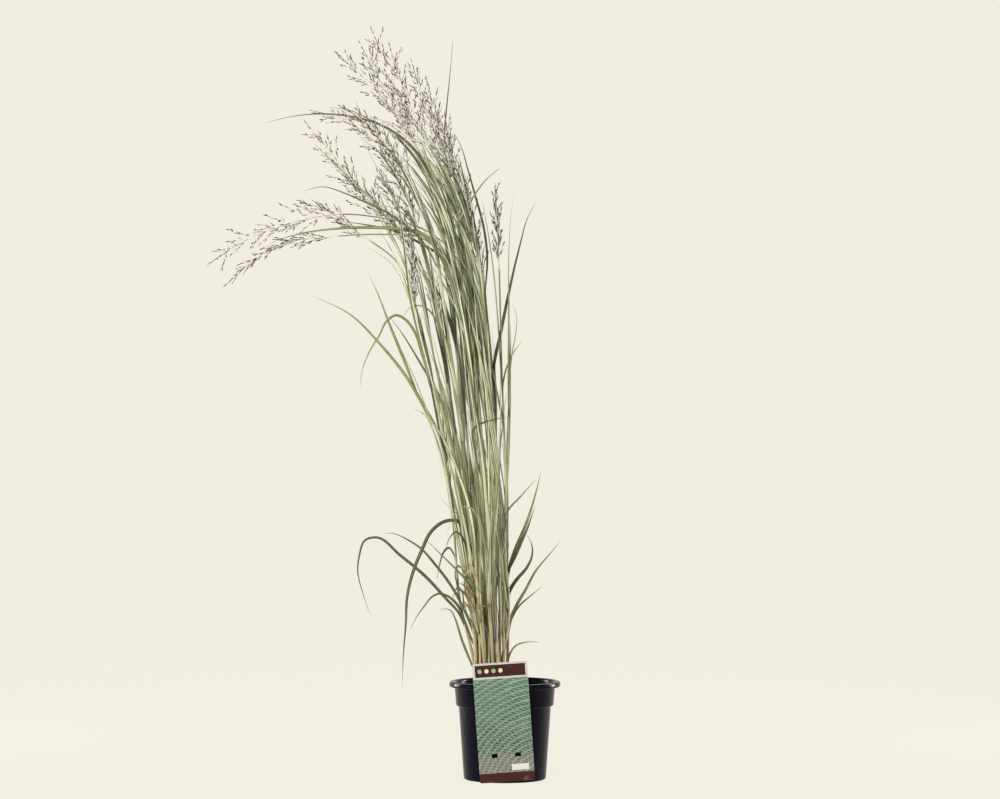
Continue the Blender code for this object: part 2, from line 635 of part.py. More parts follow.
def falloff(count):
    """How much of a push at one point each other point of the strand shares."""
    far = np.abs(np.subtract.outer(np.arange(count), np.arange(count))) * STEP / COMB_SMOOTH
    return np.exp(-0.5 * far**2)


def held(strand):
    """How freely each point moves against the strand's parent: not at all at the root."""
    ramp = ROOT_RAMP[strand.kind == "branch"]
    return np.clip(np.arange(len(strand.points)) * STEP / ramp, 0, 1)[:, None]


def own_move(strand, push, touched):
    """The smooth move of one strand: a culm's foot moves upright and level, and a blade's root stays."""
    share = falloff(len(push))
    move = share @ push / np.maximum(1.0, share @ touched)[:, None]
    if strand.kind == "culm":
        below = strand.points[:, 2] < UPRIGHT_TOP
        move[below] = move[below].mean(axis=0)
        move[:, 2] *= np.clip((strand.points[:, 2] - UPRIGHT_TOP) / 60.0, 0, 1)
        return move
    return move * held(strand)


def comb(strands):
    sizes = [len(s.points) for s in strands]
    starts = np.concatenate([[0], np.cumsum(sizes)])
    reach = np.concatenate([s.reach for s in strands])
    nodes = np.concatenate([s.nodes for s in strands])
    lines = np.concatenate([np.full(n, k) for k, n in enumerate(sizes)])
    place = {id(s): k for k, s in enumerate(strands)}
    firm = np.concatenate([np.full(n, 0.35 if s.kind == "culm" else 1.0) for n, s in zip(sizes, strands)])
    spare = np.where(np.concatenate([np.full(n, s.kind == "branch") for n, s in zip(sizes, strands)]), 0.6, 1)
    for turn in range(COMB_ROUNDS):
        points = np.concatenate([s.points for s in strands])
        if turn % COMB_REFRESH == 0:
            a, b = near_pairs(points, nodes, lines, 15.0)
        gap = points[b] - points[a]
        gap[:, 1] += 1e-3 * np.where((a + b) % 2, 1, -1)
        apart = np.linalg.norm(gap, axis=1)
        need = reach[a] + reach[b] + COMB_SPARE * np.minimum(spare[a], spare[b])
        close = apart < need
        if not close.any():
            break
        pa, pb = a[close], b[close]
        push = ((need - apart) / apart)[close, None] * gap[close] * SIDEWAYS
        share = (firm[pa] / (firm[pa] + firm[pb]))[:, None]
        total, hits = np.zeros_like(points), np.zeros(len(points))
        np.add.at(total, pa, -push * share)
        np.add.at(total, pb, push * (1 - share))
        np.add.at(hits, pa, 1)
        np.add.at(hits, pb, 1)
        total /= np.maximum(1, hits)[:, None]
        for k, strand in enumerate(strands):
            if strand.parent:
                passed = (1 - held(strand)) * total[starts[k]:starts[k + 1]]
                strongest = passed[np.argmax(np.linalg.norm(passed, axis=1))]
                root = starts[place[id(strand.parent)]] + strand.root
                total[root] += strongest
                hits[root] += np.linalg.norm(strongest) > 0
        moves = []
        for k, strand in enumerate(strands):
            own = slice(starts[k], starts[k + 1])
            move = own_move(strand, total[own], hits[own] > 0)
            if strand.parent:
                move = move + moves[place[id(strand.parent)]][strand.root]
            moves.append(move)
        for strand, move in zip(strands, moves):
            strand.points = strand.points + move
    print("combed in", turn + 1, "rounds;", int(close.sum()), "close pairs are left")


# The tuft's solids

def ring(centre, across, up, radius):
    angles = 2 * math.pi * np.arange(3) / 3
    return [centre + radius * (math.cos(a) * across + math.sin(a) * up) for a in angles]


def round_rod(line, reach, kept, tip=False):
    """Three-sided rings round a line at the points that are kept."""
    ahead = tangents(line)
    across = carried(line, np.array((1.0, 0.1, 0.0)))
    rings = [ring(line[k], across[k], np.cross(ahead[k], across[k]), reach[k]) for k in kept]
    return skinned(rings[:-1] if tip else rings, line[-1] if tip else None)


def blade_skin(strand, line):
    """A thin blade with a keel below: three sides, wide and flat above."""
    ahead = tangents(line)
    outward = line[-1] - line[0]
    outward[2] = 0.0
    across = carried(line, np.cross((0.0, 0.0, 1.0), outward / np.linalg.norm(outward)))
    share = np.linspace(0.0, 1.0, len(line))
    width = blade_width(share, strand.width)
    keep = bends(line, BLADE_BEND, always=(1, len(line) // 3))
    rings = []
    for k in keep[:-1]:
        over = np.cross(ahead[k], across[k])
        angle = strand.facing + strand.turn * share[k]
        side = math.cos(angle) * across[k] + math.sin(angle) * over
        below = math.sin(angle) * across[k] - math.cos(angle) * over
        half = min(width[k] / 2, 1.6) if k == 0 else width[k] / 2
        middle = line[k] - below * KEEL / 2
        rings.append([middle - side * half, middle + below * KEEL, middle + side * half])
    return skinned(rings, line[-1])


def seeded_thread(line, kept, bare, radius):
    """A thread that is bare at first, and then swells at each of its spikelets."""
    far = along(line)
    ahead = tangents(line)
    across = carried(line, np.array((0.3, 1.0, 0.2)))
    count = max(2, int((far[-1] - bare) / SPIKELET))
    pitch = (far[-1] - bare) / count
    stations = [(far[k], radius, 0.0) for k in kept if far[k] < bare - 2.0]
    for k in range(count):
        stations.append((bare + k * pitch, THREAD_RADIUS, 0.0))
        stations.append((bare + (k + 0.45) * pitch, SPIKELET_RADIUS, 0.7 if k % 2 else -0.7))
    rings = []
    for distance, thick, aside in stations:
        k = int(np.argmin(np.abs(far - distance)))
        centre = np.array([np.interp(distance, far, line[:, j]) for j in range(3)]) + aside * across[k]
        rings.append(ring(centre, across[k], np.cross(ahead[k], across[k]), thick))
    return skinned(rings, line[-1])


def shoot_node(number, culm_strand, blades, look):
    """A culm with its blades. A shoot of leaves ends in a rolled tip instead of a panicle."""
    bare = culm_strand.nodes == number
    leafy = not SHOOTS[number].panicle
    line, reach = culm_strand.points[bare], culm_strand.reach[bare] * 1.1
    upright = int(np.sum(line[:, 2] < UPRIGHT_TOP)) - 1
    kept = bends(line, CULM_BEND, always=(upright,))
    made = solid(f"stem_{number:02d}", *round_rod(line, reach, kept, tip=leafy), look)
    pieces = []
    for blade in blades:
        pieces.append(solid("blade", *blade_skin(blade, seated(blade.points, line, kept, blade.root))))
    return combined(made, pieces, "UNION")


def panicle_node(number, culm_strand, threads, look):
    """A seed head: its axis, which stands just clear of the culm's end, and the branches all round it."""
    first = int(np.argmax(culm_strand.nodes > 100)) - 1
    line = culm_strand.points[first:].copy()
    line[0] = line[0] + CLEARANCE * tangents(line)[0]
    seeds = len(line) - 1 - int(SEEDED_END / STEP)
    kept = bends(line, AXIS_BEND, always=(seeds,))
    bare = along(line)[seeds]
    made = solid(f"panicle_{number:02d}", *seeded_thread(line, kept, bare, AXIS_RADIUS), look)
    pieces = []
    for thread in threads:
        own = seated(thread.points, line, kept, thread.root - first)
        pieces.append(solid("thread", *seeded_thread(own, [0], 0.0, THREAD_RADIUS)))
    return combined(made, pieces, "UNION")


def main():
    for old in list(bpy.data.objects):
        bpy.data.objects.remove(old)
    black = material("pot_plastic", (0.012, 0.012, 0.016), 0.35)
    compost = material("compost", (0.035, 0.022, 0.014), 0.95)
    card = material("label_card", (0.30, 0.42, 0.30), 0.4)
    green = material("leaf_green", (0.17, 0.23, 0.10), 0.55)
    bronze = material("panicle_bronze", (0.22, 0.17, 0.15), 0.7)

    strands = grown()
    comb(strands)
    feet = [s.points[0][:2] for s in strands if s.kind == "culm"]
    pot(black)
    soil(feet, compost)
    label(card)
    for number, shoot in SHOOTS.items():
        own = [s for s in strands if s.node == number]
        shoot_node(number, own[0], own[1:], green)
        if shoot.panicle:
            panicle_node(number, own[0], [s for s in strands if s.node == 100 + number], bronze)


main()
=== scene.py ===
"""A potted feather reed grass, dressed for its picture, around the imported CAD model. Units are metres there;
routes and sizes of the plant, pot and label are written in millimetres and scaled by MM."""

import json
import math
from collections import namedtuple

import bpy
import numpy as np
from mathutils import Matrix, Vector, noise
from mathutils.kdtree import KDTree

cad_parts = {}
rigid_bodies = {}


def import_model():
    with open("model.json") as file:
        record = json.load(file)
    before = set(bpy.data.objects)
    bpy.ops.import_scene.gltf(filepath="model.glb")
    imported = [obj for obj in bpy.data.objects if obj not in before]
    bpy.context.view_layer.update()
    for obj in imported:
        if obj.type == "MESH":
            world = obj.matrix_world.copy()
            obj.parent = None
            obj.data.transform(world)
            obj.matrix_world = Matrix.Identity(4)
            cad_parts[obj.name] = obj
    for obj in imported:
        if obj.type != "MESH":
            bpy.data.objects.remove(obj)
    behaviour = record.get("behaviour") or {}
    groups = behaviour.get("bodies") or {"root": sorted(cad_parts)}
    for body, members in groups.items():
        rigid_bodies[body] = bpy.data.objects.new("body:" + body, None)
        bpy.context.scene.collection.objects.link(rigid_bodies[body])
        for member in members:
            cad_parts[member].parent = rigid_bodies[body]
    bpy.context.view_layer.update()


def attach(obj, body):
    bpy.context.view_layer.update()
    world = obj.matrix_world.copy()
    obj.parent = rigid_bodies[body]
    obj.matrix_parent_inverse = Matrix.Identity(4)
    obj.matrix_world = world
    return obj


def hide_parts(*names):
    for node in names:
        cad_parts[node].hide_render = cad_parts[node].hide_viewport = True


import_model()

MM = 0.001
scene = bpy.context.scene


# Camera, floor and light
# A long lens at the height of the plant's middle, as in the picture. The floor is pale matt paper that
# sweeps up behind the plant, under large soft lamps and a dim sky that is pale near the horizon.

CAMERA_PLACE = (-0.0074, -5.3, 0.581)
LENS = 124.6
SENSOR = 36.0
SIGHT = 50.0
FLOOR_DEPTHS = (-14.0, -3.0, 5.0)
SWEEP_RADIUS = 2.5
SWEEP_STEPS = 14
SWEEP_TOP = 12.0
HALF_SWEEP = 14.0
PAPER = (0.010, 0.0097, 0.0092)
PAPER_GLOW = (0.879, 0.847, 0.745)
PAPER_GLOW_STRENGTH = 0.996
SKY = (1.0, 0.99, 0.97)
SKY_STRENGTH = 0.08
HORIZON = (0.16, 0.42)
LAMPS = {
    # name: place, aim, width, height, power, colour
    "key": ((-1.9, -2.6, 2.6), (-0.1, 0.0, 0.5), 1.1, 1.1, 222.0, (1.0, 0.985, 0.96)),
    "fill": ((2.4, -2.2, 1.4), (0.0, 0.0, 0.4), 1.2, 2.0, 22.0, (0.96, 0.98, 1.0)),
    "back": ((0.6, 2.2, 2.6), (-0.1, 0.0, 0.7), 1.8, 1.2, 16.0, (1.0, 1.0, 1.0)),
    "left_strip": ((-1.35, 0.80, 0.40), (0.0, 0.0, 0.12), 0.16, 1.0, 30.0, (0.97, 0.98, 1.0)),
    "right_strip": ((1.35, 0.72, 0.40), (0.0, 0.0, 0.12), 0.16, 1.0, 34.0, (0.97, 0.98, 1.0)),
}


def aimed(thing, place, target):
    thing.location = place
    thing.rotation_euler = (Vector(target) - Vector(place)).to_track_quat("-Z", "Y").to_euler()
    scene.collection.objects.link(thing)


camera = bpy.data.objects.new("camera", bpy.data.cameras.new("camera"))
camera.data.lens = LENS
camera.data.sensor_width = SENSOR
camera.data.sensor_fit = "HORIZONTAL"
camera.data.clip_end = SIGHT
camera.location = CAMERA_PLACE
camera.rotation_euler = (math.pi / 2, 0.0, 0.0)
scene.collection.objects.link(camera)
scene.camera = camera
scene.view_settings.view_transform = "Standard"

for name, (place, target, width, height, power, colour) in LAMPS.items():
    lamp = bpy.data.lights.new(name, "AREA")
    lamp.shape = "RECTANGLE"
    lamp.size = width
    lamp.size_y = height
    lamp.energy = power
    lamp.color = colour
    aimed(bpy.data.objects.new(name, lamp), place, target)

world = bpy.data.worlds.new("sky")
world.use_nodes = True
sky = world.node_tree.nodes.new
upwards = sky("ShaderNodeSeparateXYZ")
height = sky("ShaderNodeMapRange")
height.interpolation_type = "SMOOTHSTEP"
height.inputs["From Min"].default_value, height.inputs["From Max"].default_value = HORIZON
shade = sky("ShaderNodeMix")
shade.data_type = "RGBA"
shade.inputs["A"].default_value = (*(PAPER_GLOW_STRENGTH * c for c in PAPER_GLOW), 1.0)
shade.inputs["B"].default_value = (*(SKY_STRENGTH * c for c in SKY), 1.0)
wire = world.node_tree.links.new
wire(sky("ShaderNodeTexCoord").outputs["Generated"], upwards.inputs["Vector"])
wire(upwards.outputs["Z"], height.inputs["Value"])
wire(height.outputs["Result"], shade.inputs["Factor"])
wire(shade.outputs["Result"], world.node_tree.nodes["Background"].inputs["Color"])
scene.world = world


class Finish:
    """A material put together from shader nodes, one short call for each."""

    def __init__(self, name, **sockets):
        self.material = bpy.data.materials.new(name)
        self.material.use_nodes = True
        self.tree = self.material.node_tree
        self.shader = self.tree.nodes["Principled BSDF"]
        for socket, value in sockets.items():
            self.shader.inputs[socket.replace("_", " ")].default_value = value

    def feed(self, node, socket, value):
        if isinstance(value, bpy.types.NodeSocket):
            self.tree.links.new(value, node.inputs[socket])
        else:
            node.inputs[socket].default_value = value

    def add(self, kind, inputs=None, **settings):
        node = self.tree.nodes.new("ShaderNode" + kind)
        for setting, value in settings.items():
            setattr(node, setting, value)
        for socket, value in (inputs or {}).items():
            self.feed(node, socket, value)
        return node

    def place(self):
        """Where a point of the piece lies, in metres."""
        return self.add("TexCoord").outputs["Object"]

    def across_and_along(self, name):
        """The two numbers that a piece's own UV map gives at a point."""
        split = self.add("SeparateXYZ", {"Vector": self.add("UVMap", uv_map=name).outputs["UV"]})
        return split.outputs["X"], split.outputs["Y"]

    def math(self, operation, first, second=0.0):
        return self.add("Math", {0: first, 1: second}, operation=operation).outputs[0]

    def times(self, first, second):
        return self.math("MULTIPLY", first, second)

    def shifted(self, value, by, start):
        """The value times one number, plus another."""
        return self.add("Math", {0: value, 1: by, 2: start}, operation="MULTIPLY_ADD").outputs[0]

    def vector(self, x, y, z=0.0):
        return self.add("CombineXYZ", {"X": x, "Y": y, "Z": z}).outputs[0]

    def scaled(self, vector, by):
        return self.add("VectorMath", {0: vector, 1: by}, operation="MULTIPLY").outputs[0]

    def noise(self, vector, scale, detail=3.0, roughness=0.55):
        inputs = {"Vector": vector, "Scale": scale, "Detail": detail, "Roughness": roughness}
        return self.add("TexNoise", inputs).outputs["Fac"]

    def between(self, value, low, high, most=1.0):
        """0 below low, the most above high, smooth between."""
        inputs = {"Value": value, "From Min": low, "From Max": high, "To Max": most}
        return self.add("MapRange", inputs, interpolation_type="SMOOTHSTEP").outputs["Result"]

    def mix(self, share, first, second):
        colours = [(*c, 1.0) if isinstance(c, tuple) else c for c in (first, second)]
        return self.add("Mix", {0: share, 6: colours[0], 7: colours[1]}, data_type="RGBA").outputs[2]

    def bump(self, height, distance, strength):
        node = self.add("Bump", {"Height": height, "Distance": distance, "Strength": strength})
        self.tree.links.new(node.outputs["Normal"], self.shader.inputs["Normal"])

    def set(self, socket, value):
        self.feed(self.shader, socket, value)


def paper_sweep():
    """A floor that turns up into a backdrop in one soft curve."""
    turn = np.linspace(0.1, math.pi / 2, SWEEP_STEPS)
    depths = [*FLOOR_DEPTHS, *(FLOOR_DEPTHS[-1] + SWEEP_RADIUS * np.sin(turn))]
    heights = [0.0] * len(FLOOR_DEPTHS) + [*(SWEEP_RADIUS - SWEEP_RADIUS * np.cos(turn))]
    depths.append(depths[-1])
    heights.append(SWEEP_TOP)
    points = [(x, y, z) for y, z in zip(depths, heights) for x in (-HALF_SWEEP, HALF_SWEEP)]
    faces = [(2 * k, 2 * k + 1, 2 * k + 3, 2 * k + 2) for k in range(len(depths) - 1)]
    mesh = bpy.data.meshes.new("paper_sweep")
    mesh.from_pydata(points, [], faces)
    mesh.shade_smooth()
    paper = Finish("matt_paper", Roughness=0.95, Specular_IOR_Level=0.0)
    fibre = paper.noise(paper.place(), 180.0)
    paper.set("Base Color", paper.mix(fibre, PAPER, tuple(0.96 * c for c in PAPER)))
    paper.set("Emission Color", (*PAPER_GLOW, 1.0))
    paper.set("Emission Strength", PAPER_GLOW_STRENGTH)
    mesh.materials.append(paper.material)
    sweep = bpy.data.objects.new("paper_sweep", mesh)
    scene.collection.objects.link(sweep)


paper_sweep()


# Pot
# A thin nursery pot of glossy black plastic, moulded in one piece: a tapered wall, a ledge below its
# collar, a rolled rim to lift it by, and a flat base with drain holes. It carries everything else.

RIM_RADIUS = 85.0
POT_HEIGHT = 150.0
LEDGE_HEIGHT = 112.0
WALL_TOP_RADIUS = 70.6
BASE_RADIUS = 63.0
COLLAR_RADIUS = 77.0
WALL = 1.4
FLOOR = 2.2
POT_SIDES = 144
DRAIN_HOLES = 6
DRAIN_HOLE_RADIUS = 5.0
DRAIN_RING_RADIUS = 38.0
PLATE_RADIUS = 47.0
BASE_EDGE = 2.0
WALL_RINGS = 14
LEDGE_WIDTH = 4.0
RIM_DEPTH = 8.5
ROUNDING = 1.3


def piece(name, points, faces, looks, replaced, maps=None, face_looks=None, crease=35.0):
    """An object from points in millimetres that rides on the plant's body and stands for CAD nodes."""
    mesh = bpy.data.meshes.new(name)
    points = np.asarray(points, float) * MM
    mesh.from_pydata(points.tolist(), [], faces)
    for look in looks:
        mesh.materials.append(look)
    if face_looks is not None:
        mesh.polygons.foreach_set("material_index", np.asarray(face_looks, np.int32))
    corners = np.empty(len(mesh.loops), np.int32)
    mesh.loops.foreach_get("vertex_index", corners)
    for map_name, values in (maps or {}).items():
        layer = mesh.uv_layers.new(name=map_name)
        layer.uv.foreach_set("vector", np.asarray(values, np.float32)[corners].ravel())
    mesh.validate()
    mesh.shade_smooth()
    mesh.set_sharp_from_angle(angle=math.radians(crease))
    made = bpy.data.objects.new(name, mesh)
    scene.collection.objects.link(made)
    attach(made, "root")
    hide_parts(*replaced)


def rounded(profile, radius, steps=4):
    """The profile of (radius, height) with each corner rounded off."""
    made = [profile[0]]
    for before, at, after in zip(profile, profile[1:], profile[2:]):
        before, at, after = (np.array(p, float) for p in (before, at, after))
        back, on = before - at, after - at
        cut = min(radius, 0.45 * np.linalg.norm(back), 0.45 * np.linalg.norm(on))
        start = at + back / np.linalg.norm(back) * cut
        end = at + on / np.linalg.norm(on) * cut
        for t in np.linspace(0.0, 1.0, steps):
            made.append(tuple((1 - t) ** 2 * start + 2 * t * (1 - t) * at + t * t * end))
    made.append(profile[-1])
    return made


def turned(profile, sides):
    """Points and faces of a profile of (radius, height) turned round the upright axis."""
    profile = np.asarray(profile, float)
    angles = 2 * math.pi * np.arange(sides) / sides
    ring = np.stack([np.cos(angles), np.sin(angles)], axis=1)
    points = np.concatenate([
        np.column_stack([ring * radius, np.full(sides, height)]) for radius, height in profile
    ])
    faces = []
    for i in range(len(profile) - 1):
        for k in range(sides):
            a, b = i * sides + k, i * sides + (k + 1) % sides
            faces.append((a, b, b + sides, a + sides))
    return points, faces


def pot():
    """The wall and rim turned in one, then the holed plate of the base."""
    collar, lower = WALL_TOP_RADIUS + LEDGE_WIDTH - WALL, WALL_TOP_RADIUS - WALL
    inner, under_rim = BASE_RADIUS - WALL, POT_HEIGHT - RIM_DEPTH
    wall = []
    for height in np.linspace(6.0, LEDGE_HEIGHT - 4.0, WALL_RINGS):
        share = (height - BASE_EDGE) / (LEDGE_HEIGHT - BASE_EDGE)
        wall.append((BASE_RADIUS + (WALL_TOP_RADIUS - BASE_RADIUS) * share, height))
    profile = [
        (PLATE_RADIUS, 0.0), (BASE_RADIUS - BASE_EDGE, 0.0), (BASE_RADIUS, BASE_EDGE), *wall,
        (WALL_TOP_RADIUS, LEDGE_HEIGHT), (WALL_TOP_RADIUS + LEDGE_WIDTH, LEDGE_HEIGHT + 1.2),
        (COLLAR_RADIUS, under_rim), (RIM_RADIUS - 1.6, under_rim), (RIM_RADIUS, POT_HEIGHT - 7.0),
        (RIM_RADIUS, POT_HEIGHT - 2.0), (RIM_RADIUS - 2.0, POT_HEIGHT), (COLLAR_RADIUS + 1.0, POT_HEIGHT),
        (collar + 2.2, POT_HEIGHT - 2.5), (collar + 0.2, LEDGE_HEIGHT + 3.0), (lower, LEDGE_HEIGHT - 0.2),
        (inner + 0.4, FLOOR + 4.0), (inner - 3.0, FLOOR), (PLATE_RADIUS, FLOOR),
    ]
    points, faces = turned(rounded(profile, ROUNDING), POT_SIDES)
    points, faces = [tuple(p) for p in points], list(faces)
    rings = len(points) // POT_SIDES
    # The base inside the wall: a flat plate with a round hole in each of its sectors
    sector = POT_SIDES // DRAIN_HOLES
    lower_rings = []
    for height, lowest, ring in ((0.0, True, 0), (FLOOR, False, rings - 1)):
        centre = len(points)
        points.append((0.0, 0.0, height))
        for hole in range(DRAIN_HOLES):
            angle = 2 * math.pi * (hole + 0.5) / DRAIN_HOLES
            at = (DRAIN_RING_RADIUS * math.cos(angle), DRAIN_RING_RADIUS * math.sin(angle))
            outer = [ring * POT_SIDES + (hole * sector + k) % POT_SIDES for k in range(sector + 1)]
            edge = outer + [centre]
            start = len(points)
            for turn in [math.atan2(points[e][1] - at[1], points[e][0] - at[0]) for e in edge]:
                points.append((at[0] + DRAIN_HOLE_RADIUS * math.cos(turn),
                               at[1] + DRAIN_HOLE_RADIUS * math.sin(turn), height))
            for k in range(len(edge)):
                after = (k + 1) % len(edge)
                face = (edge[k], edge[after], start + after, start + k)
                faces.append(face[::-1] if lowest else face)
            if lowest:
                lower_rings.append(start)
                continue
            below = lower_rings[hole]
            for k in range(len(edge)):
                after = (k + 1) % len(edge)
                faces.append((below + k, below + after, start + after, start + k))
    plastic = Finish("black_plastic", Specular_IOR_Level=0.07, Specular_Tint=(0.86, 0.86, 1.0, 1.0))
    place = plastic.place()
    cloud = plastic.noise(place, 22.0, 4.0)
    streak = plastic.noise(plastic.scaled(place, (260.0, 260.0, 9.0)), 1.0, 4.0)
    dust = plastic.times(plastic.between(cloud, 0.5, 0.75), plastic.between(streak, 0.5, 0.7))
    plastic.set("Base Color", plastic.mix(dust, (0.0016, 0.0012, 0.0050), (0.006, 0.0055, 0.010)))
    plastic.set("Roughness", plastic.shifted(cloud, 0.12, 0.14))
    grain = plastic.math("ADD", plastic.noise(place, 900.0, 2.0), plastic.times(streak, 0.4))
    plastic.bump(grain, 0.00012, 0.35)
    piece("pot", points, faces, [plastic.material], ["pot"])


pot()


# Compost
# Dark potting compost that fills the pot to two centimetres below its rim: an uneven bed of peat with
# crumbs, splinters of bark and a few white grains of perlite pressed into its top.

SOIL_TOP = 128.0
SOIL_RADIUS = 71.0
SOIL_RINGS = 34
SOIL_SIDES = 120
SOIL_SEED = 5
CRUMBS = 520
CRUMB_SIZE = (0.7, 2.1)
LARGE_SIZE = (1.0, 1.9)
# Which crumbs are splinters, larger ones or white grains, by a number from 0 to 1
SPLINTER_BELOW = 0.35
LARGE_ABOVE = 0.9
WHITE_ABOVE = 0.93


def crumb_shape():
    """A rough lump from a ball of twelve corners."""
    golden = (1 + math.sqrt(5)) / 2
    corners = [
        (-1, golden, 0), (1, golden, 0), (-1, -golden, 0), (1, -golden, 0), (0, -1, golden), (0, 1, golden),
        (0, -1, -golden), (0, 1, -golden), (golden, 0, -1), (golden, 0, 1), (-golden, 0, -1),
        (-golden, 0, 1),
    ]
    faces = [
        (0, 11, 5), (0, 5, 1), (0, 1, 7), (0, 7, 10), (0, 10, 11), (1, 5, 9), (5, 11, 4), (11, 10, 2),
        (10, 7, 6), (7, 1, 8), (3, 9, 4), (3, 4, 2), (3, 2, 6), (3, 6, 8), (3, 8, 9), (4, 9, 5), (2, 4, 11),
        (6, 2, 10), (8, 6, 7), (9, 8, 1),
    ]
    return np.array(corners) / math.sqrt(1 + golden**2), np.array(faces)


def compost():
    """An uneven bed, with crumbs that lie half in it."""
    random = np.random.default_rng(SOIL_SEED)
    shares = np.linspace(0.0, 1.0, SOIL_RINGS)
    profile = [(max(0.4, SOIL_RADIUS * s), SOIL_TOP - 3.2 - 1.5 * s**4) for s in shares]
    profile += [(SOIL_RADIUS, 118.0), (68.0, 111.0), (60.5, 10.0), (58.0, 3.0), (0.4, 3.0)]
    points, faces = turned(profile, SOIL_SIDES)
    for point in points[:SOIL_RINGS * SOIL_SIDES]:
        lump = noise.noise(Vector((point[0], point[1], 0.0)) * 0.09) * 2.0
        grit = noise.noise(Vector((point[0], point[1], 4.0)) * 0.45) * 0.9
        point[2] += lump + grit
    corners, sides = crumb_shape()
    parts, tones = [points], [np.tile((0.0, 0.2), (len(points), 1))]
    faces = [tuple(f) for f in faces]
    for k in range(CRUMBS):
        angle = random.uniform(0, 2 * math.pi)
        far = (SOIL_RADIUS - 4.0) * math.sqrt(random.uniform())
        kind = random.uniform()
        size = random.uniform(*(CRUMB_SIZE if kind < LARGE_ABOVE else LARGE_SIZE))
        long = random.uniform(1.0, 2.6) if kind < SPLINTER_BELOW else 1.0
        stretch = np.array((long, 1.0, random.uniform(0.5, 0.9)))
        turn = random.uniform(0, 2 * math.pi)
        cosine, sine = math.cos(turn), math.sin(turn)
        spin = np.array(((cosine, -sine, 0), (sine, cosine, 0), (0, 0, 1)))
        lump = corners * stretch * size * random.uniform(0.75, 1.2, (len(corners), 1))
        height = SOIL_TOP - 3.0 + random.uniform(-0.6, 1.2)
        parts.append(lump @ spin.T + (far * math.cos(angle), far * math.sin(angle), height))
        tones.append(np.tile((float(kind > WHITE_ABOVE), random.uniform()), (len(corners), 1)))
        faces += (sides + len(points) + k * len(corners)).tolist()
    peat = Finish("peat", Roughness=0.95)
    white, tone = peat.across_and_along("tone")
    place = peat.place()
    speckle = peat.noise(place, 700.0, 5.0, 0.7)
    dark = peat.mix(speckle, (0.010, 0.0065, 0.0045), (0.075, 0.043, 0.026))
    bark = peat.mix(tone, (0.020, 0.012, 0.008), (0.16, 0.095, 0.055))
    brown = peat.mix(peat.between(tone, 0.25, 0.9), dark, bark)
    peat.set("Base Color", peat.mix(white, brown, (0.62, 0.60, 0.55)))
    peat.bump(peat.noise(place, 1500.0, 4.0), 0.0006, 0.8)
    piece("compost", np.concatenate(parts), faces, [peat.material], ["soil"],
          {"tone": np.concatenate(tones)})


compost()


# Lines of the tuft
# Every shoot of the grass grows from its own foot in the compost: a round culm, blades that leave it at
# its joints, and the branches of its seed head. These lines are the ones that the CAD solids are built on.

CROWN_CENTRE = (-23.0, 0.0)
CROWN_SPACING = 4.3
CROWN_COLUMN = 5
ROUTE_START = 165.0
UPRIGHT_TOP = 140.0
FOOT_RADIUS = 2.5
CULM_RADIUS = ((0.0, FOOT_RADIUS), (250.0, 2.4), (450.0, 1.8), (750.0, 1.35), (1200.0, 1.0))
AXIS_RADIUS = 0.8
STEP = 6.0
SEED = 13
GOLDEN_ANGLE = math.radians(137.5)

Shoot = namedtuple("Shoot", "depth route panicle spread blades")
Blade = namedtuple("Blade", "shoot start width depth turn route")

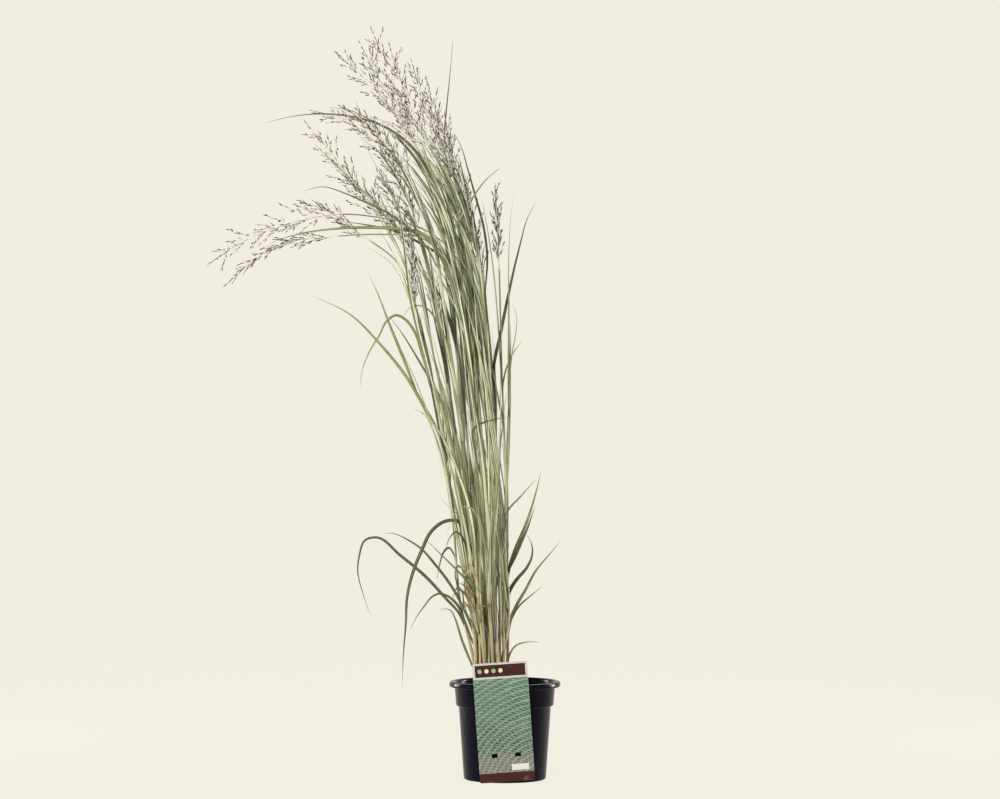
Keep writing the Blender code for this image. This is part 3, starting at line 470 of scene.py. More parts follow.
# Every shoot: how deep its tip lies, the points (x, height) that its culm passes from below to its tip,
# the length of its panicle (0 for a shoot of leaves), the panicle's spread, and its blades by rule.
SHOOTS = {
    1: Shoot(-12, [(-35, 395), (-60, 655), (-90, 855), (-140, 995), (-185, 1100), (-205, 1150)], 205, 34, 2),
    2: Shoot(22, [(-48, 395), (-70, 655), (-95, 850), (-140, 980), (-205, 1065), (-260, 1115)], 200, 32, 2),
    3: Shoot(52, [(-42, 395), (-65, 700), (-105, 900), (-165, 1025), (-210, 1105),
                  (-225, 1135)], 190, 30, 1),
    4: Shoot(-50, [(-32, 395), (-60, 700), (-90, 895), (-140, 1020), (-165, 1080),
                   (-175, 1120)], 195, 30, 1),
    5: Shoot(16, [(-25, 395), (-55, 720), (-80, 900), (-120, 1025), (-145, 1105)], 195, 28, 2),
    6: Shoot(-32, [(-15, 395), (-45, 685), (-70, 880), (-100, 995), (-120, 1070)], 190, 26, 1),
    7: Shoot(60, [(-18, 395), (-40, 655), (-65, 865), (-100, 995), (-110, 1045)], 190, 24, 2),
    8: Shoot(-8, [(-12, 395), (-30, 610), (-60, 840), (-85, 965), (-92, 1020)], 180, 22, 1),
    9: Shoot(-58, [(-5, 395), (-20, 580), (-45, 810), (-65, 910), (-80, 950)], 175, 20, 2),
    10: Shoot(34, [(-8, 395), (-25, 670), (-45, 835), (-60, 915)], 150, 20, 1),
    11: Shoot(-28, [(-75, 395), (-120, 640), (-155, 790), (-210, 885), (-265, 955),
                    (-305, 1005)], 205, 30, 2),
    12: Shoot(34, [(-55, 395), (-85, 670), (-120, 855), (-180, 960), (-245, 1010),
                   (-300, 1027)], 185, 24, 2),
    13: Shoot(-66, [(-52, 395), (-80, 640), (-115, 835), (-165, 950), (-225, 1010),
                    (-250, 1025)], 170, 24, 1),
    14: Shoot(6, [(-62, 395), (-95, 655), (-130, 835), (-165, 920), (-200, 970)], 150, 20, 2),
    15: Shoot(-50, [(-60, 395), (-100, 595), (-135, 780), (-165, 875), (-195, 930)], 150, 20, 1),
    16: Shoot(62, [(-60, 395), (-90, 625), (-125, 780), (-175, 855), (-235, 915), (-258, 935)], 155, 22, 1),
    17: Shoot(24, [(-30, 395), (-50, 610), (-62, 740), (-85, 812), (-120, 840), (-190, 860), (-250, 866),
                   (-320, 855), (-400, 825), (-455, 790)], 215, 30, 1),
    18: Shoot(-36, [(-38, 395), (-55, 595), (-65, 720), (-90, 795), (-130, 828), (-185, 832), (-270, 828),
                    (-345, 815), (-385, 790), (-425, 755)], 190, 14, 1),
    19: Shoot(-6, [(-78, 395), (-105, 565), (-140, 730), (-165, 790), (-215, 830), (-280, 873),
                   (-315, 885)], 120, 18, 1),
    20: Shoot(0, [(2, 395), (-5, 640), (-10, 815), (-15, 910)], 125, 12, 1),
    21: Shoot(-58, [(-66, 395), (-108, 595), (-136, 735), (-141, 832)], 110, 12, 1),
    22: Shoot(68, [(-60, 395), (-85, 580), (-100, 700), (-122, 792)], 100, 14, 1),
    23: Shoot(4, [(-70, 270), (-80, 395), (-105, 520), (-135, 590)], 0, 0, 0),
    24: Shoot(-14, [(4, 300), (3, 425), (6, 560)], 0, 0, 0),
    25: Shoot(42, [(-8, 300), (2, 430), (8, 520)], 0, 0, 3),
    26: Shoot(-42, [(-18, 300), (-14, 420), (-12, 500)], 0, 0, 3),
    27: Shoot(-64, [(-42, 280), (-50, 400), (-66, 480)], 0, 0, 3),
    28: Shoot(70, [(-40, 280), (-45, 400), (-60, 490)], 0, 0, 3),
    29: Shoot(60, [(-20, 280), (-15, 380), (-12, 450)], 0, 0, 3),
    30: Shoot(-76, [(-24, 270), (-24, 350), (-26, 400)], 0, 0, 3),
    31: Shoot(78, [(-30, 260), (-34, 340), (-42, 400)], 0, 0, 3),
    32: Shoot(-30, [(0, 250), (0, 320), (1, 380)], 0, 0, 3),
    33: Shoot(30, [(-50, 260), (-58, 340), (-64, 400)], 0, 0, 3),
    34: Shoot(-46, [(-48, 250), (-54, 320), (-60, 370)], 0, 0, 3),
    35: Shoot(50, [(2, 250), (4, 320), (5, 370)], 0, 0, 3),
}

# The blades that stand out of the tuft: the shoot, the height where the blade leaves its culm, its width,
# how deep its tip lies, how far it turns about its own length, and the points (x, height) that it passes.
BLADES = [
    Blade(19, 480, 5.0, -20, 70, [(-104, 535), (-122, 567), (-150, 615), (-190, 665), (-235, 710),
                                  (-295, 740)]),
    Blade(16, 540, 4.0, 45, 60, [(-100, 585), (-125, 628), (-160, 685), (-180, 712)]),
    Blade(11, 600, 4.2, -48, 80, [(-126, 650), (-136, 682), (-150, 702), (-165, 710), (-180, 700),
                                  (-190, 680), (-205, 655), (-215, 630), (-220, 595)]),
    Blade(13, 620, 3.8, -60, 50, [(-88, 665), (-100, 692), (-110, 710), (-121, 721), (-135, 724),
                                  (-146, 719), (-155, 705)]),
    Blade(12, 335, 5.5, -34, 75, [(-60, 375), (-72, 395), (-92, 394), (-112, 379), (-126, 352),
                                  (-140, 318), (-149, 280), (-151, 240), (-155, 185), (-156, 140)]),
    Blade(23, 225, 4.8, -22, 70, [(-72, 255), (-90, 275), (-120, 308), (-160, 342), (-198, 370),
                                  (-214, 366), (-222, 345), (-225, 320), (-217, 285), (-205, 250)]),
    Blade(11, 215, 5.0, 30, 60, [(-62, 258), (-78, 290), (-105, 328), (-125, 350), (-150, 366),
                                 (-172, 375), (-190, 374)]),
    Blade(19, 195, 4.2, -36, 60, [(-62, 245), (-72, 268), (-86, 281), (-100, 285), (-111, 280),
                                  (-121, 268), (-135, 249), (-145, 228)]),
    Blade(23, 315, 4.0, 26, 50, [(-80, 345), (-87, 354), (-95, 346), (-101, 326), (-105, 303)]),
    Blade(13, 305, 4.0, -46, 50, [(-56, 345), (-65, 370), (-75, 381), (-85, 371), (-91, 350)]),
    Blade(4, 235, 4.0, -72, 30, [(-32, 275), (-55, 305), (-90, 342), (-120, 370)]),
    Blade(23, 162, 4.0, -26, 40, [(-66, 215), (-76, 247), (-82, 259), (-90, 262), (-101, 260)]),
    Blade(20, 255, 6.0, -16, 60, [(6, 325), (16, 355), (30, 388), (45, 435), (55, 476)]),
    Blade(9, 265, 6.0, -48, 70, [(0, 310), (13, 340), (25, 370), (46, 420)]),
    Blade(9, 335, 5.0, -62, 40, [(-8, 390), (5, 415), (20, 431), (46, 461)]),
    Blade(24, 235, 6.0, -20, 110, [(6, 290), (16, 306), (30, 322), (40, 345), (37, 366), (30, 376)]),
    Blade(24, 190, 5.0, 6, 60, [(7, 245), (16, 266), (30, 290), (45, 318), (65, 342), (85, 366)]),
    Blade(20, 190, 4.0, 22, 50, [(6, 240), (20, 264), (40, 281), (57, 295)]),
    Blade(24, 160, 3.5, -12, 30, [(6, 192), (14, 204), (30, 210), (51, 210)]),
    Blade(10, 565, 5.0, 18, 80, [(-17, 630), (-6, 685), (4, 735), (15, 785), (25, 825), (33, 855),
                                 (51, 890)]),
    Blade(24, 555, 4.5, 0, 70, [(6, 640), (6, 720), (6, 800), (10, 865), (15, 900)]),
    Blade(24, 480, 4.0, -24, 60, [(6, 560), (11, 650), (17, 685), (18, 708), (11, 730)]),
    Blade(20, 560, 4.0, -18, 40, [(-2, 610), (10, 648), (26, 671)]),
    Blade(4, 465, 5.0, -60, 60, [(-47, 515), (-49, 533), (-42, 542), (-30, 547), (-15, 551), (6, 555)]),
    Blade(4, 785, 4.0, -66, 60, [(-76, 842), (-58, 873), (-46, 892), (-30, 913), (-6, 933)]),
    Blade(10, 730, 4.0, 44, 70, [(-28, 810), (-35, 855), (-45, 892), (-56, 932), (-69, 975), (-81, 997)]),
    Blade(7, 855, 3.2, 34, 50, [(-88, 945), (-93, 985), (-90, 1030), (-85, 1080), (-80, 1140)]),
    Blade(2, 860, 4.0, 4, 70, [(-124, 942), (-153, 978), (-185, 1000), (-220, 1012), (-275, 1019),
                               (-325, 1015), (-370, 1004)]),
    Blade(3, 850, 4.5, 30, 60, [(-118, 935), (-148, 976), (-175, 996), (-205, 1011), (-240, 1027),
                                (-275, 1031)]),
    Blade(13, 780, 3.6, -44, 60, [(-126, 822), (-160, 852), (-188, 870), (-215, 882), (-240, 893),
                                  (-278, 904), (-310, 896)]),
    Blade(14, 735, 3.8, 12, 50, [(-122, 795), (-137, 842), (-150, 861), (-167, 873), (-190, 880)]),
    Blade(18, 690, 6.0, -50, 80, [(-84, 775), (-104, 812), (-124, 832), (-160, 840), (-200, 842),
                                  (-255, 840), (-310, 832), (-338, 824), (-370, 808)]),
    Blade(17, 745, 4.2, 8, 60, [(-90, 795), (-128, 820), (-160, 836), (-190, 845), (-225, 851),
                                (-260, 855)]),
    Blade(23, 585, 4.5, 2, 80, [(-160, 655), (-177, 697), (-195, 744), (-210, 776)]),
    Blade(6, 205, 4.5, -66, 70, [(-32, 255), (-44, 288), (-54, 308), (-67, 324)]),
    Blade(15, 220, 4.0, -62, 70, [(-60, 262), (-64, 290), (-70, 297), (-76, 285), (-80, 268)]),
    Blade(23, 275, 4.6, -64, 60, [(-78, 312), (-72, 326), (-57, 310), (-40, 290), (-22, 270)]),
    Blade(21, 255, 4.0, -70, 50, [(-58, 300), (-54, 318), (-46, 322), (-40, 305), (-38, 282)]),
]

# A blade starts turned this far about its own length, so that the front sees its width
FACING = 55.0

RULE_WIDTH = (4.6, 6.4)
RULE_LENGTH = (240.0, 360.0)
RULE_PARTING = (0.05, 0.12)
RULE_FALL = (0.25, 0.95)
RULE_DROOP = 2.0
RULE_ASIDE = (0.4, 0.12)
RIGHT_EDGE = -12.0
CULM_JOINTS = (215.0, 395.0, 570.0)
SHOOT_JOINTS = (190.0, 280.0, 370.0)
BRANCHES = (6, 7)
# A branch's slope and length: what they are at no spread, and what each unit of the spread adds
BRANCH_SLOPE = (0.30, 0.011)
BRANCH_LENGTH = (20.0, 1.1)
BRANCH_SHRINK = 0.55
OPEN_SPREAD = 22
SEEDED_END = 40.0
FIRST_BRANCH = 0.06
BRANCH_REACH = 2.0
SOIL_FOOT = SOIL_TOP - 30.0

COMB_ROUNDS = 240
COMB_REFRESH = 8
COMB_SPARE = 1.8
COMB_SMOOTH = 42.0
COMB_SIGHT = 15.0
CULM_FIRMNESS = 0.35
BRANCH_SPARE = 0.6
ROOT_RAMP = (24.0, 12.0)
SIDEWAYS = (0.6, 1.0, 0.35)


def along(points):
    """How far along the line each point lies."""
    steps = np.linalg.norm(np.diff(points, axis=0), axis=1)
    return np.concatenate([[0.0], np.cumsum(steps)])


def points_at(at, far, line):
    """The points that lie this far along the line."""
    return np.stack([np.interp(at, far, line[:, k]) for k in range(3)], axis=-1)


def evenly(points, step):
    """The line again, with points this far apart."""
    far = along(points)
    count = max(3, int(round(far[-1] / step)) + 1)
    return points_at(np.linspace(0.0, far[-1], count), far, points)


def at_height(points, height):
    """The number of the point that lies nearest to this height."""
    return int(np.argmin(np.abs(points[:, 2] - height)))


def smooth_through(points, step):
    """A smooth curve through the points, with points this far apart."""
    points = np.asarray(points, float)
    far = along(points)
    slopes = np.gradient(points, far, axis=0)
    drawn = []
    for i in range(len(points) - 1):
        span = far[i + 1] - far[i]
        t = np.linspace(0.0, 1.0, 16, endpoint=i == len(points) - 2)[:, None]
        drawn.append(
            (2 * t**3 - 3 * t**2 + 1) * points[i]
            + (t**3 - 2 * t**2 + t) * span * slopes[i]
            + (3 * t**2 - 2 * t**3) * points[i + 1]
            + (t**3 - t**2) * span * slopes[i + 1]
        )
    return evenly(np.concatenate(drawn), step)


def tangents(points):
    """The direction of the line at each point."""
    ahead = np.gradient(points, axis=0)
    return ahead / np.linalg.norm(ahead, axis=1)[:, None]


def carried(points, across):
    """The direction across the line at each point, carried along it without turning about it."""
    found = []
    for ahead in tangents(points):
        across = across - ahead * (across @ ahead)
        across = across / np.linalg.norm(across)
        found.append(across)
    return np.array(found)


def to_side(angle, ahead, across):
    """The direction at an angle round the line, counted from the one across it."""
    return math.cos(angle) * across + math.sin(angle) * np.cross(ahead, across)


class Strand:
    """One culm, blade or branch: its line, how far it reaches to each side of it, and what it grows from."""

    def __init__(self, kind, node, points, reach, parent=None, root=0):
        self.kind, self.node, self.points = kind, node, points
        self.reach = np.full(len(points), float(reach)) if np.isscalar(reach) else np.asarray(reach, float)
        self.parent, self.root = parent, root
        self.nodes = np.full(len(points), node)
        self.width, self.facing, self.turn, self.spread = 0.0, 0.0, 0.0, 0.0


def crown_spots(count):
    """Places on the soil, spaced as seeds are in a sunflower."""
    spots = []
    for k in range(count):
        out, angle = CROWN_SPACING * math.sqrt(k + 0.5), k * GOLDEN_ANGLE
        spots.append((CROWN_CENTRE[0] + out * math.cos(angle), CROWN_CENTRE[1] + out * math.sin(angle)))
    return spots


def in_columns(items, across, deep):
    """The items in columns from left to right, each from front to back."""
    ordered = sorted(items, key=across)
    found = []
    for k in range(0, len(ordered), CROWN_COLUMN):
        found += sorted(ordered[k:k + CROWN_COLUMN], key=deep)
    return found


def feet_of_shoots():
    """Every shoot's own spot: left shoots stand left in the crown, and front shoots stand in front."""
    shoots = in_columns(SHOOTS, lambda n: SHOOTS[n].route[0][0], lambda n: SHOOTS[n].depth)
    spots = in_columns(crown_spots(len(SHOOTS)), lambda s: s[0], lambda s: s[1])
    return dict(zip(shoots, spots))


def culm_reach(points):
    """A culm's radius, which shrinks with its height."""
    heights, radii = zip(*CULM_RADIUS)
    return np.interp(points[:, 2], heights, radii)


def culm(number, foot):
    """A culm's line: upright out of the compost, then through the points of its route."""
    shoot = SHOOTS[number]
    top = shoot.route[-1][1]
    points = [(foot[0], foot[1], SOIL_FOOT), (foot[0], foot[1], SOIL_TOP), (foot[0], foot[1], ROUTE_START)]
    for across, up in shoot.route:
        share = ((up - SOIL_TOP) / (top - SOIL_TOP)) ** 1.2 if up < top else 1.0
        points.append((across, foot[1] + (shoot.depth - foot[1]) * share, up))
    line = smooth_through(points, STEP)
    made = Strand("culm", number, line, culm_reach(line))
    left = along(line)[-1] - along(line)
    if shoot.panicle:
        made.nodes[left <= shoot.panicle] = 100 + number
    made.spread = shoot.spread
    return made


def blade_width(share, width):
    """A blade is widest a quarter of the way along, and tapers to its tip."""
    swell = np.minimum(1.0, 0.6 + 1.8 * share)
    taper = 1.0 - np.clip((share - 0.3) / 0.7, 0, 1) ** 1.7
    return np.maximum(0.9, width * swell * taper)


def blade_strand(culm_strand, root, line, width, facing, turn):
    """A blade that leaves its culm at the root. Its facing and turn are in degrees."""
    share = np.linspace(0.0, 1.0, len(line))
    made = Strand("blade", culm_strand.node, line, blade_width(share, width) / 2, culm_strand, root)
    made.width, made.facing, made.turn = width, math.radians(facing), math.radians(turn)
    return made


def standing_out(blade, culm_strand):
    """A blade of the list, along its own points."""
    root = at_height(culm_strand.points, blade.start)
    start = culm_strand.points[root]
    ends = [start]
    for k, (across, up) in enumerate(blade.route):
        share = (k + 1) / len(blade.route)
        ends.append(np.array((across, start[1] + (blade.depth - start[1]) * share, up)))
    line = smooth_through(ends, STEP)
    return blade_strand(culm_strand, root, line, blade.width, FACING, blade.turn)


def leaf_line(points, root, length, heading, parting, fall, droop):
    """A leaf's line: it rises as its culm does, parts from it and falls away more and more."""
    line, ahead = [points[root]], tangents(points)
    count = int(length / STEP)
    for k in range(count):
        share = k / count
        rising = ahead[min(root + k, len(ahead) - 1)]
        direction = rising + heading * (parting + fall * share**2) - droop * share**2
        line.append(line[-1] + STEP * direction / np.linalg.norm(direction))
    return np.array(line)


def by_rule(culm_strand, joint, number, random):
    """A blade that rises beside its own culm and parts from it, mostly forwards or backwards."""
    points = culm_strand.points
    root = at_height(points, joint)
    start = points[root]
    high = min(1.0, start[2] / 600.0)
    angle = GOLDEN_ANGLE * number
    aside = RULE_ASIDE[0] + (RULE_ASIDE[1] - RULE_ASIDE[0]) * high
    inwards = 0.3 if start[0] > RIGHT_EDGE else 0.0
    heading = np.array((math.cos(angle) * aside - 0.25 * high - inwards, math.sin(angle), 0.0))
    length = random.uniform(*RULE_LENGTH)
    parting = random.uniform(*RULE_PARTING)
    fall = random.uniform(*RULE_FALL) * (1.0 - 0.55 * high)
    droop = np.array((0.0, 0.0, random.uniform(0.0, RULE_DROOP) * (1.0 - high)))
    line = leaf_line(points, root, length, heading, parting, fall, droop)
    width = random.uniform(*RULE_WIDTH)
    facing = random.uniform(-FACING, FACING)
    turn = random.choice((-1, 1)) * random.uniform(40, 110)
    return blade_strand(culm_strand, root, line, width, facing, turn)


def by_spread(measure, spread):
    return measure[0] + measure[1] * spread


def side_branch(start, ahead, aside, count, step):
    """A line that leaves an axis to one side, and a little more so with each step."""
    line = [start]
    for k in range(count):
        direction = ahead + aside * (0.6 + 0.5 * k / count)
        line.append(line[-1] + step * direction / np.linalg.norm(direction))
    return np.array(line)


def branches(culm_strand, number):
    """A panicle's side branches, which leave its axis all round it and grow shorter towards its tip."""
    points, first = culm_strand.points, int(np.argmax(culm_strand.nodes > 100))
    axis = points[first:]
    ahead = tangents(axis)
    across = carried(axis, np.array((0.0, 1.0, 0.0)))
    made = []
    many = BRANCHES[culm_strand.spread > OPEN_SPREAD]
    last = 1.0 - (SEEDED_END + STEP) / along(axis)[-1]
    for k in range(many):
        share = FIRST_BRANCH + (last - FIRST_BRANCH) * k / (many - 1)
        at = int(share * (len(axis) - 1))
        out = to_side(GOLDEN_ANGLE * k + number, ahead[at], across[at])
        slope = by_spread(BRANCH_SLOPE, culm_strand.spread)
        length = by_spread(BRANCH_LENGTH, culm_strand.spread) * (1.0 - BRANCH_SHRINK * share)
        count = max(3, int(round(length / STEP)))
        line = side_branch(axis[at], ahead[at], out * slope, count, STEP)
        made.append(Strand("branch", 100 + number, line, BRANCH_REACH, culm_strand, first + at))
    return made


def grown():
    """Every strand of the tuft, each after the one that it grows from."""
    random = np.random.default_rng(SEED)
    feet = feet_of_shoots()
    culms = {n: culm(n, feet[n]) for n in SHOOTS}
    strands = list(culms.values())
    strands += [standing_out(blade, culms[blade.shoot]) for blade in BLADES]
    for number, shoot in SHOOTS.items():
        joints = CULM_JOINTS if shoot.panicle else SHOOT_JOINTS
        for rank in range(shoot.blades):
            joint = joints[-1 - rank] + random.uniform(-45, 45)
            joint = min(joint, shoot.route[-1][1] - 20)
            strands.append(by_rule(culms[number], joint, len(strands), random))
        if shoot.panicle:
            strands += branches(culms[number], number)
    return strands


def near_pairs(points, nodes, lines, within):
    """Pairs of points of different shoots that lie within a distance of each other."""
    tree = KDTree(len(points))
    for k, point in enumerate(points):
        tree.insert(point, k)
    tree.balance()
    first, second = [], []
    for k, point in enumerate(points):
        for _, other, _ in tree.find_range(point, within):
            if other > k and nodes[other] != nodes[k] and lines[other] != lines[k]:
                first.append(k)
                second.append(other)
    return np.array(first, int), np.array(second, int)


def falloff(count):
    """How much of a push at one point each other point of the strand shares."""
    far = np.abs(np.subtract.outer(np.arange(count), np.arange(count))) * STEP / COMB_SMOOTH
    return np.exp(-0.5 * far**2)


def held(strand):
    """How freely each point moves against the strand's parent: not at all at the root."""
    ramp = ROOT_RAMP[strand.kind == "branch"]
    return np.clip(np.arange(len(strand.points)) * STEP / ramp, 0, 1)[:, None]


def own_move(strand, push, touched):
    """The smooth move of one strand: a culm's foot moves upright and level, and a blade's root stays."""
    share = falloff(len(push))
    move = share @ push / np.maximum(1.0, share @ touched)[:, None]
    if strand.kind == "culm":
        below = strand.points[:, 2] < UPRIGHT_TOP
        move[below] = move[below].mean(axis=0)
        move[:, 2] *= np.clip((strand.points[:, 2] - UPRIGHT_TOP) / 60.0, 0, 1)
        return move
    return move * held(strand)


def comb(strands):
    """Bends the strands of different shoots clear of each other, in many small rounds."""
    sizes = [len(s.points) for s in strands]
    starts = np.concatenate([[0], np.cumsum(sizes)])
    reach = np.concatenate([s.reach for s in strands])
    nodes = np.concatenate([s.nodes for s in strands])
    lines = np.repeat(np.arange(len(strands)), sizes)
    place = {id(s): k for k, s in enumerate(strands)}
    firm = np.repeat([CULM_FIRMNESS if s.kind == "culm" else 1.0 for s in strands], sizes)
    spare = np.repeat([BRANCH_SPARE if s.kind == "branch" else 1.0 for s in strands], sizes)
    for turn in range(COMB_ROUNDS):
        points = np.concatenate([s.points for s in strands])
        if turn % COMB_REFRESH == 0:
            a, b = near_pairs(points, nodes, lines, COMB_SIGHT)
        gap = points[b] - points[a]
        gap[:, 1] += 1e-3 * np.where((a + b) % 2, 1, -1)
        apart = np.linalg.norm(gap, axis=1)
        need = reach[a] + reach[b] + COMB_SPARE * np.minimum(spare[a], spare[b])
        close = apart < need
        if not close.any():
            break
        pa, pb = a[close], b[close]
        push = ((need - apart) / apart)[close, None] * gap[close] * SIDEWAYS
        share = (firm[pa] / (firm[pa] + firm[pb]))[:, None]
        total, hits = np.zeros_like(points), np.zeros(len(points))
        np.add.at(total, pa, -push * share)
        np.add.at(total, pb, push * (1 - share))
        np.add.at(hits, pa, 1)
        np.add.at(hits, pb, 1)
        total /= np.maximum(1, hits)[:, None]
        for k, strand in enumerate(strands):
            if strand.parent:
                passed = (1 - held(strand)) * total[starts[k]:starts[k + 1]]
                strongest = passed[np.argmax(np.linalg.norm(passed, axis=1))]
                root = starts[place[id(strand.parent)]] + strand.root
                total[root] += strongest
                hits[root] += np.linalg.norm(strongest) > 0
        moves = []
        for k, strand in enumerate(strands):
            own = slice(starts[k], starts[k + 1])
            move = own_move(strand, total[own], hits[own] > 0)
            if strand.parent:
                move = move + moves[place[id(strand.parent)]][strand.root]
            moves.append(move)
        for strand, move in zip(strands, moves):
            strand.points = strand.points + move


strands = grown()
comb(strands)
culms = {s.node: s for s in strands if s.kind == "culm"}


# Culms and blades
# Each shoot is a smooth round culm, wrapped in the sheath of each blade from one joint to the next. The
# blades are thin and folded along their midrib, grey-green with cream streaks, and some have dried. Painted
# shade darkens some whole blades, the margins of every blade and streaks along the culms.

HEAP_CREASE = 60.0
# How far along a piece its run map grows by one
RUN_UNIT = 100.0
CULM_SIDES = 10
CULM_STEP = 4.0
CULM_SHARE = 0.86
JOINT_LENGTH = 3.0
JOINT_SWELL = 0.16
LEAFY_TAPER = 60.0
SHEATH_LENGTH = 74.0
SHEATH_SPARE = 0.32
SHEATH_RINGS = 20
BLADE_STEP = 5.0
BLADE_ACROSS = (-1.0, -0.64, -0.3, 0.0, 0.3, 0.64, 1.0)
BLADE_SHEET = 0.34
MIDRIB = 0.75
FOLD = 0.3
# The listed blades take tones that the leaf finish paints near black, as painted shade.
PLACED_SHADED_TONE = (0.03, 0.13)
OTHER_TONE = (0.1, 1.0)
DRYNESS = 0.12
CLASP = 26.0
CLASP_HALF = 1.6
CLASP_FOLD = 0.55
TIP_SHARE = 0.06
SUNK = 0.25
FLAG_HEIGHTS = (500.0, 850.0)
FLAG_WANDER = 20.0
FLAG_FALL = (0.03, 0.2)
FLAGS = {number: 18 if number < 11 else 5 for number in range(1, 17)}
ARCHED = range(1, 11)
ARCHED_ABOVE = 640.0
ARCHED_HEADING = -0.85
ARCHED_FALL = (0.25, 0.8)
LOOSE_LEAVES = 3
LOOSE_HEIGHTS = (190.0, 560.0)
TUFT_MIDDLE = -45.0
BROKEN_LEAVES = 4
BROKEN_HEIGHTS = (225.0, 310.0)
BROKEN_PLACE = (-66.0, -30.0)
BROKEN_DEPTH = 5.0
SHOOT_SEED = 23

# The kinds of leaf that fill the tuft, with the lowest and highest number of each measure
Leaf = namedtuple("Leaf", "length parting fall width facing turn")
FLAG_LEAF = Leaf((130.0, 200.0), (0.03, 0.14), None, (3.2, 5.6), (-70, 70), (-140, 140))
LOOSE_LEAF = Leaf((70.0, 190.0), (0.08, 0.28), (0.0, 0.35), (1.8, 3.6), (-80, 80), (-160, 160))
BROKEN_LEAF = Leaf((30.0, 55.0), (0.3, 0.6), (0.3, 0.9), (2.6, 4.4), (0, 90), (-160, 160))


def swept(line, across, upwards, shape):
    """Points of a cross-section at each point of the line, given as (across, up) rows, and their faces."""
    count, sides = shape.shape[:2]
    points = line[:, None] + shape[..., :1] * across[:, None] + shape[..., 1:] * upwards[:, None]
    rows, columns = np.meshgrid(np.arange(count - 1), np.arange(sides), indexing="ij")
    after = (columns + 1) % sides
    faces = np.stack([rows * sides + columns, rows * sides + after, (rows + 1) * sides + after,
                      (rows + 1) * sides + columns], axis=-1).reshape(-1, 4)
    return points.reshape(-1, 3), faces


class Heap:
    """Skins that are gathered into one mesh, with the maps and the finish of each."""

    def __init__(self):
        self.points, self.faces, self.looks, self.maps, self.count = [], [], [], {}, 0

    def add(self, points, faces, look, **maps):
        self.points.append(points)
        self.faces += (np.asarray(faces) + self.count).tolist()
        self.looks += [look] * len(faces)
        for name, values in maps.items():
            self.maps.setdefault(name, []).append(np.broadcast_to(values, (len(points), 2)))
        self.count += len(points)

    def made(self, name, finishes, slot, replaced):
        maps = {key: np.concatenate(values) for key, values in self.maps.items()}
        points = np.concatenate(self.points)
        piece(name, points, self.faces, finishes, replaced, maps, self.looks, HEAP_CREASE)


def rod(heap, line, radii, tone, mark, sides=CULM_SIDES):
    """A round rod along a line. Its run map goes round it and along it."""
    ahead = tangents(line)
    across = carried(line, np.array((1.0, 0.1, 0.05)))
    angles = 2 * math.pi * np.arange(sides) / sides
    shape = radii[:, None, None] * np.stack([np.cos(angles), np.sin(angles)], axis=-1)[None]
    points, faces = swept(line, across, np.cross(ahead, across), shape)
    far = along(line)
    run = np.stack(np.broadcast_arrays(np.arange(sides) / sides, far[:, None] / RUN_UNIT), axis=-1)
    marks = np.repeat(mark, sides, axis=0)
    heap.add(points, faces, 0, run=run.reshape(-1, 2), tone=tone, mark=marks)


def culm_rod(heap, line, reach, roots, leafy, tone):
    """The culm with a swelling at each joint, and a paler sheath below each blade."""
    far = along(line)
    fine = np.linspace(0.0, far[-1], int(far[-1] / CULM_STEP))
    smooth = points_at(fine, far, line)
    radii = np.interp(fine, far, reach) * CULM_SHARE
    if leafy:
        radii = radii * np.clip((fine[-1] - fine) / LEAFY_TAPER, 0.02, 1.0) ** 0.5
    radii[-1] *= 0.3
    joint = np.zeros(len(fine))
    for root in roots:
        joint = np.maximum(joint, np.exp(-((fine - far[root] + SHEATH_LENGTH) / JOINT_LENGTH) ** 2))
    mark = np.stack([joint, np.zeros(len(fine))], axis=1)
    rod(heap, smooth, radii * (1 + JOINT_SWELL * joint), tone, mark)
    for root in roots:
        low, high = max(0.0, far[root] - SHEATH_LENGTH + 3.0), min(far[root] + 4.0, far[-1])
        own = np.linspace(low, high, SHEATH_RINGS)
        swell = np.clip((own - low) / 4.0, 0.0, 1.0) * SHEATH_SPARE - 0.02
        swell[-1] = -0.3
        sheath = np.interp(own, fine, radii) + swell
        rod(heap, points_at(own, far, line), sheath, tone, np.tile((0.0, 1.0), (SHEATH_RINGS, 1)))


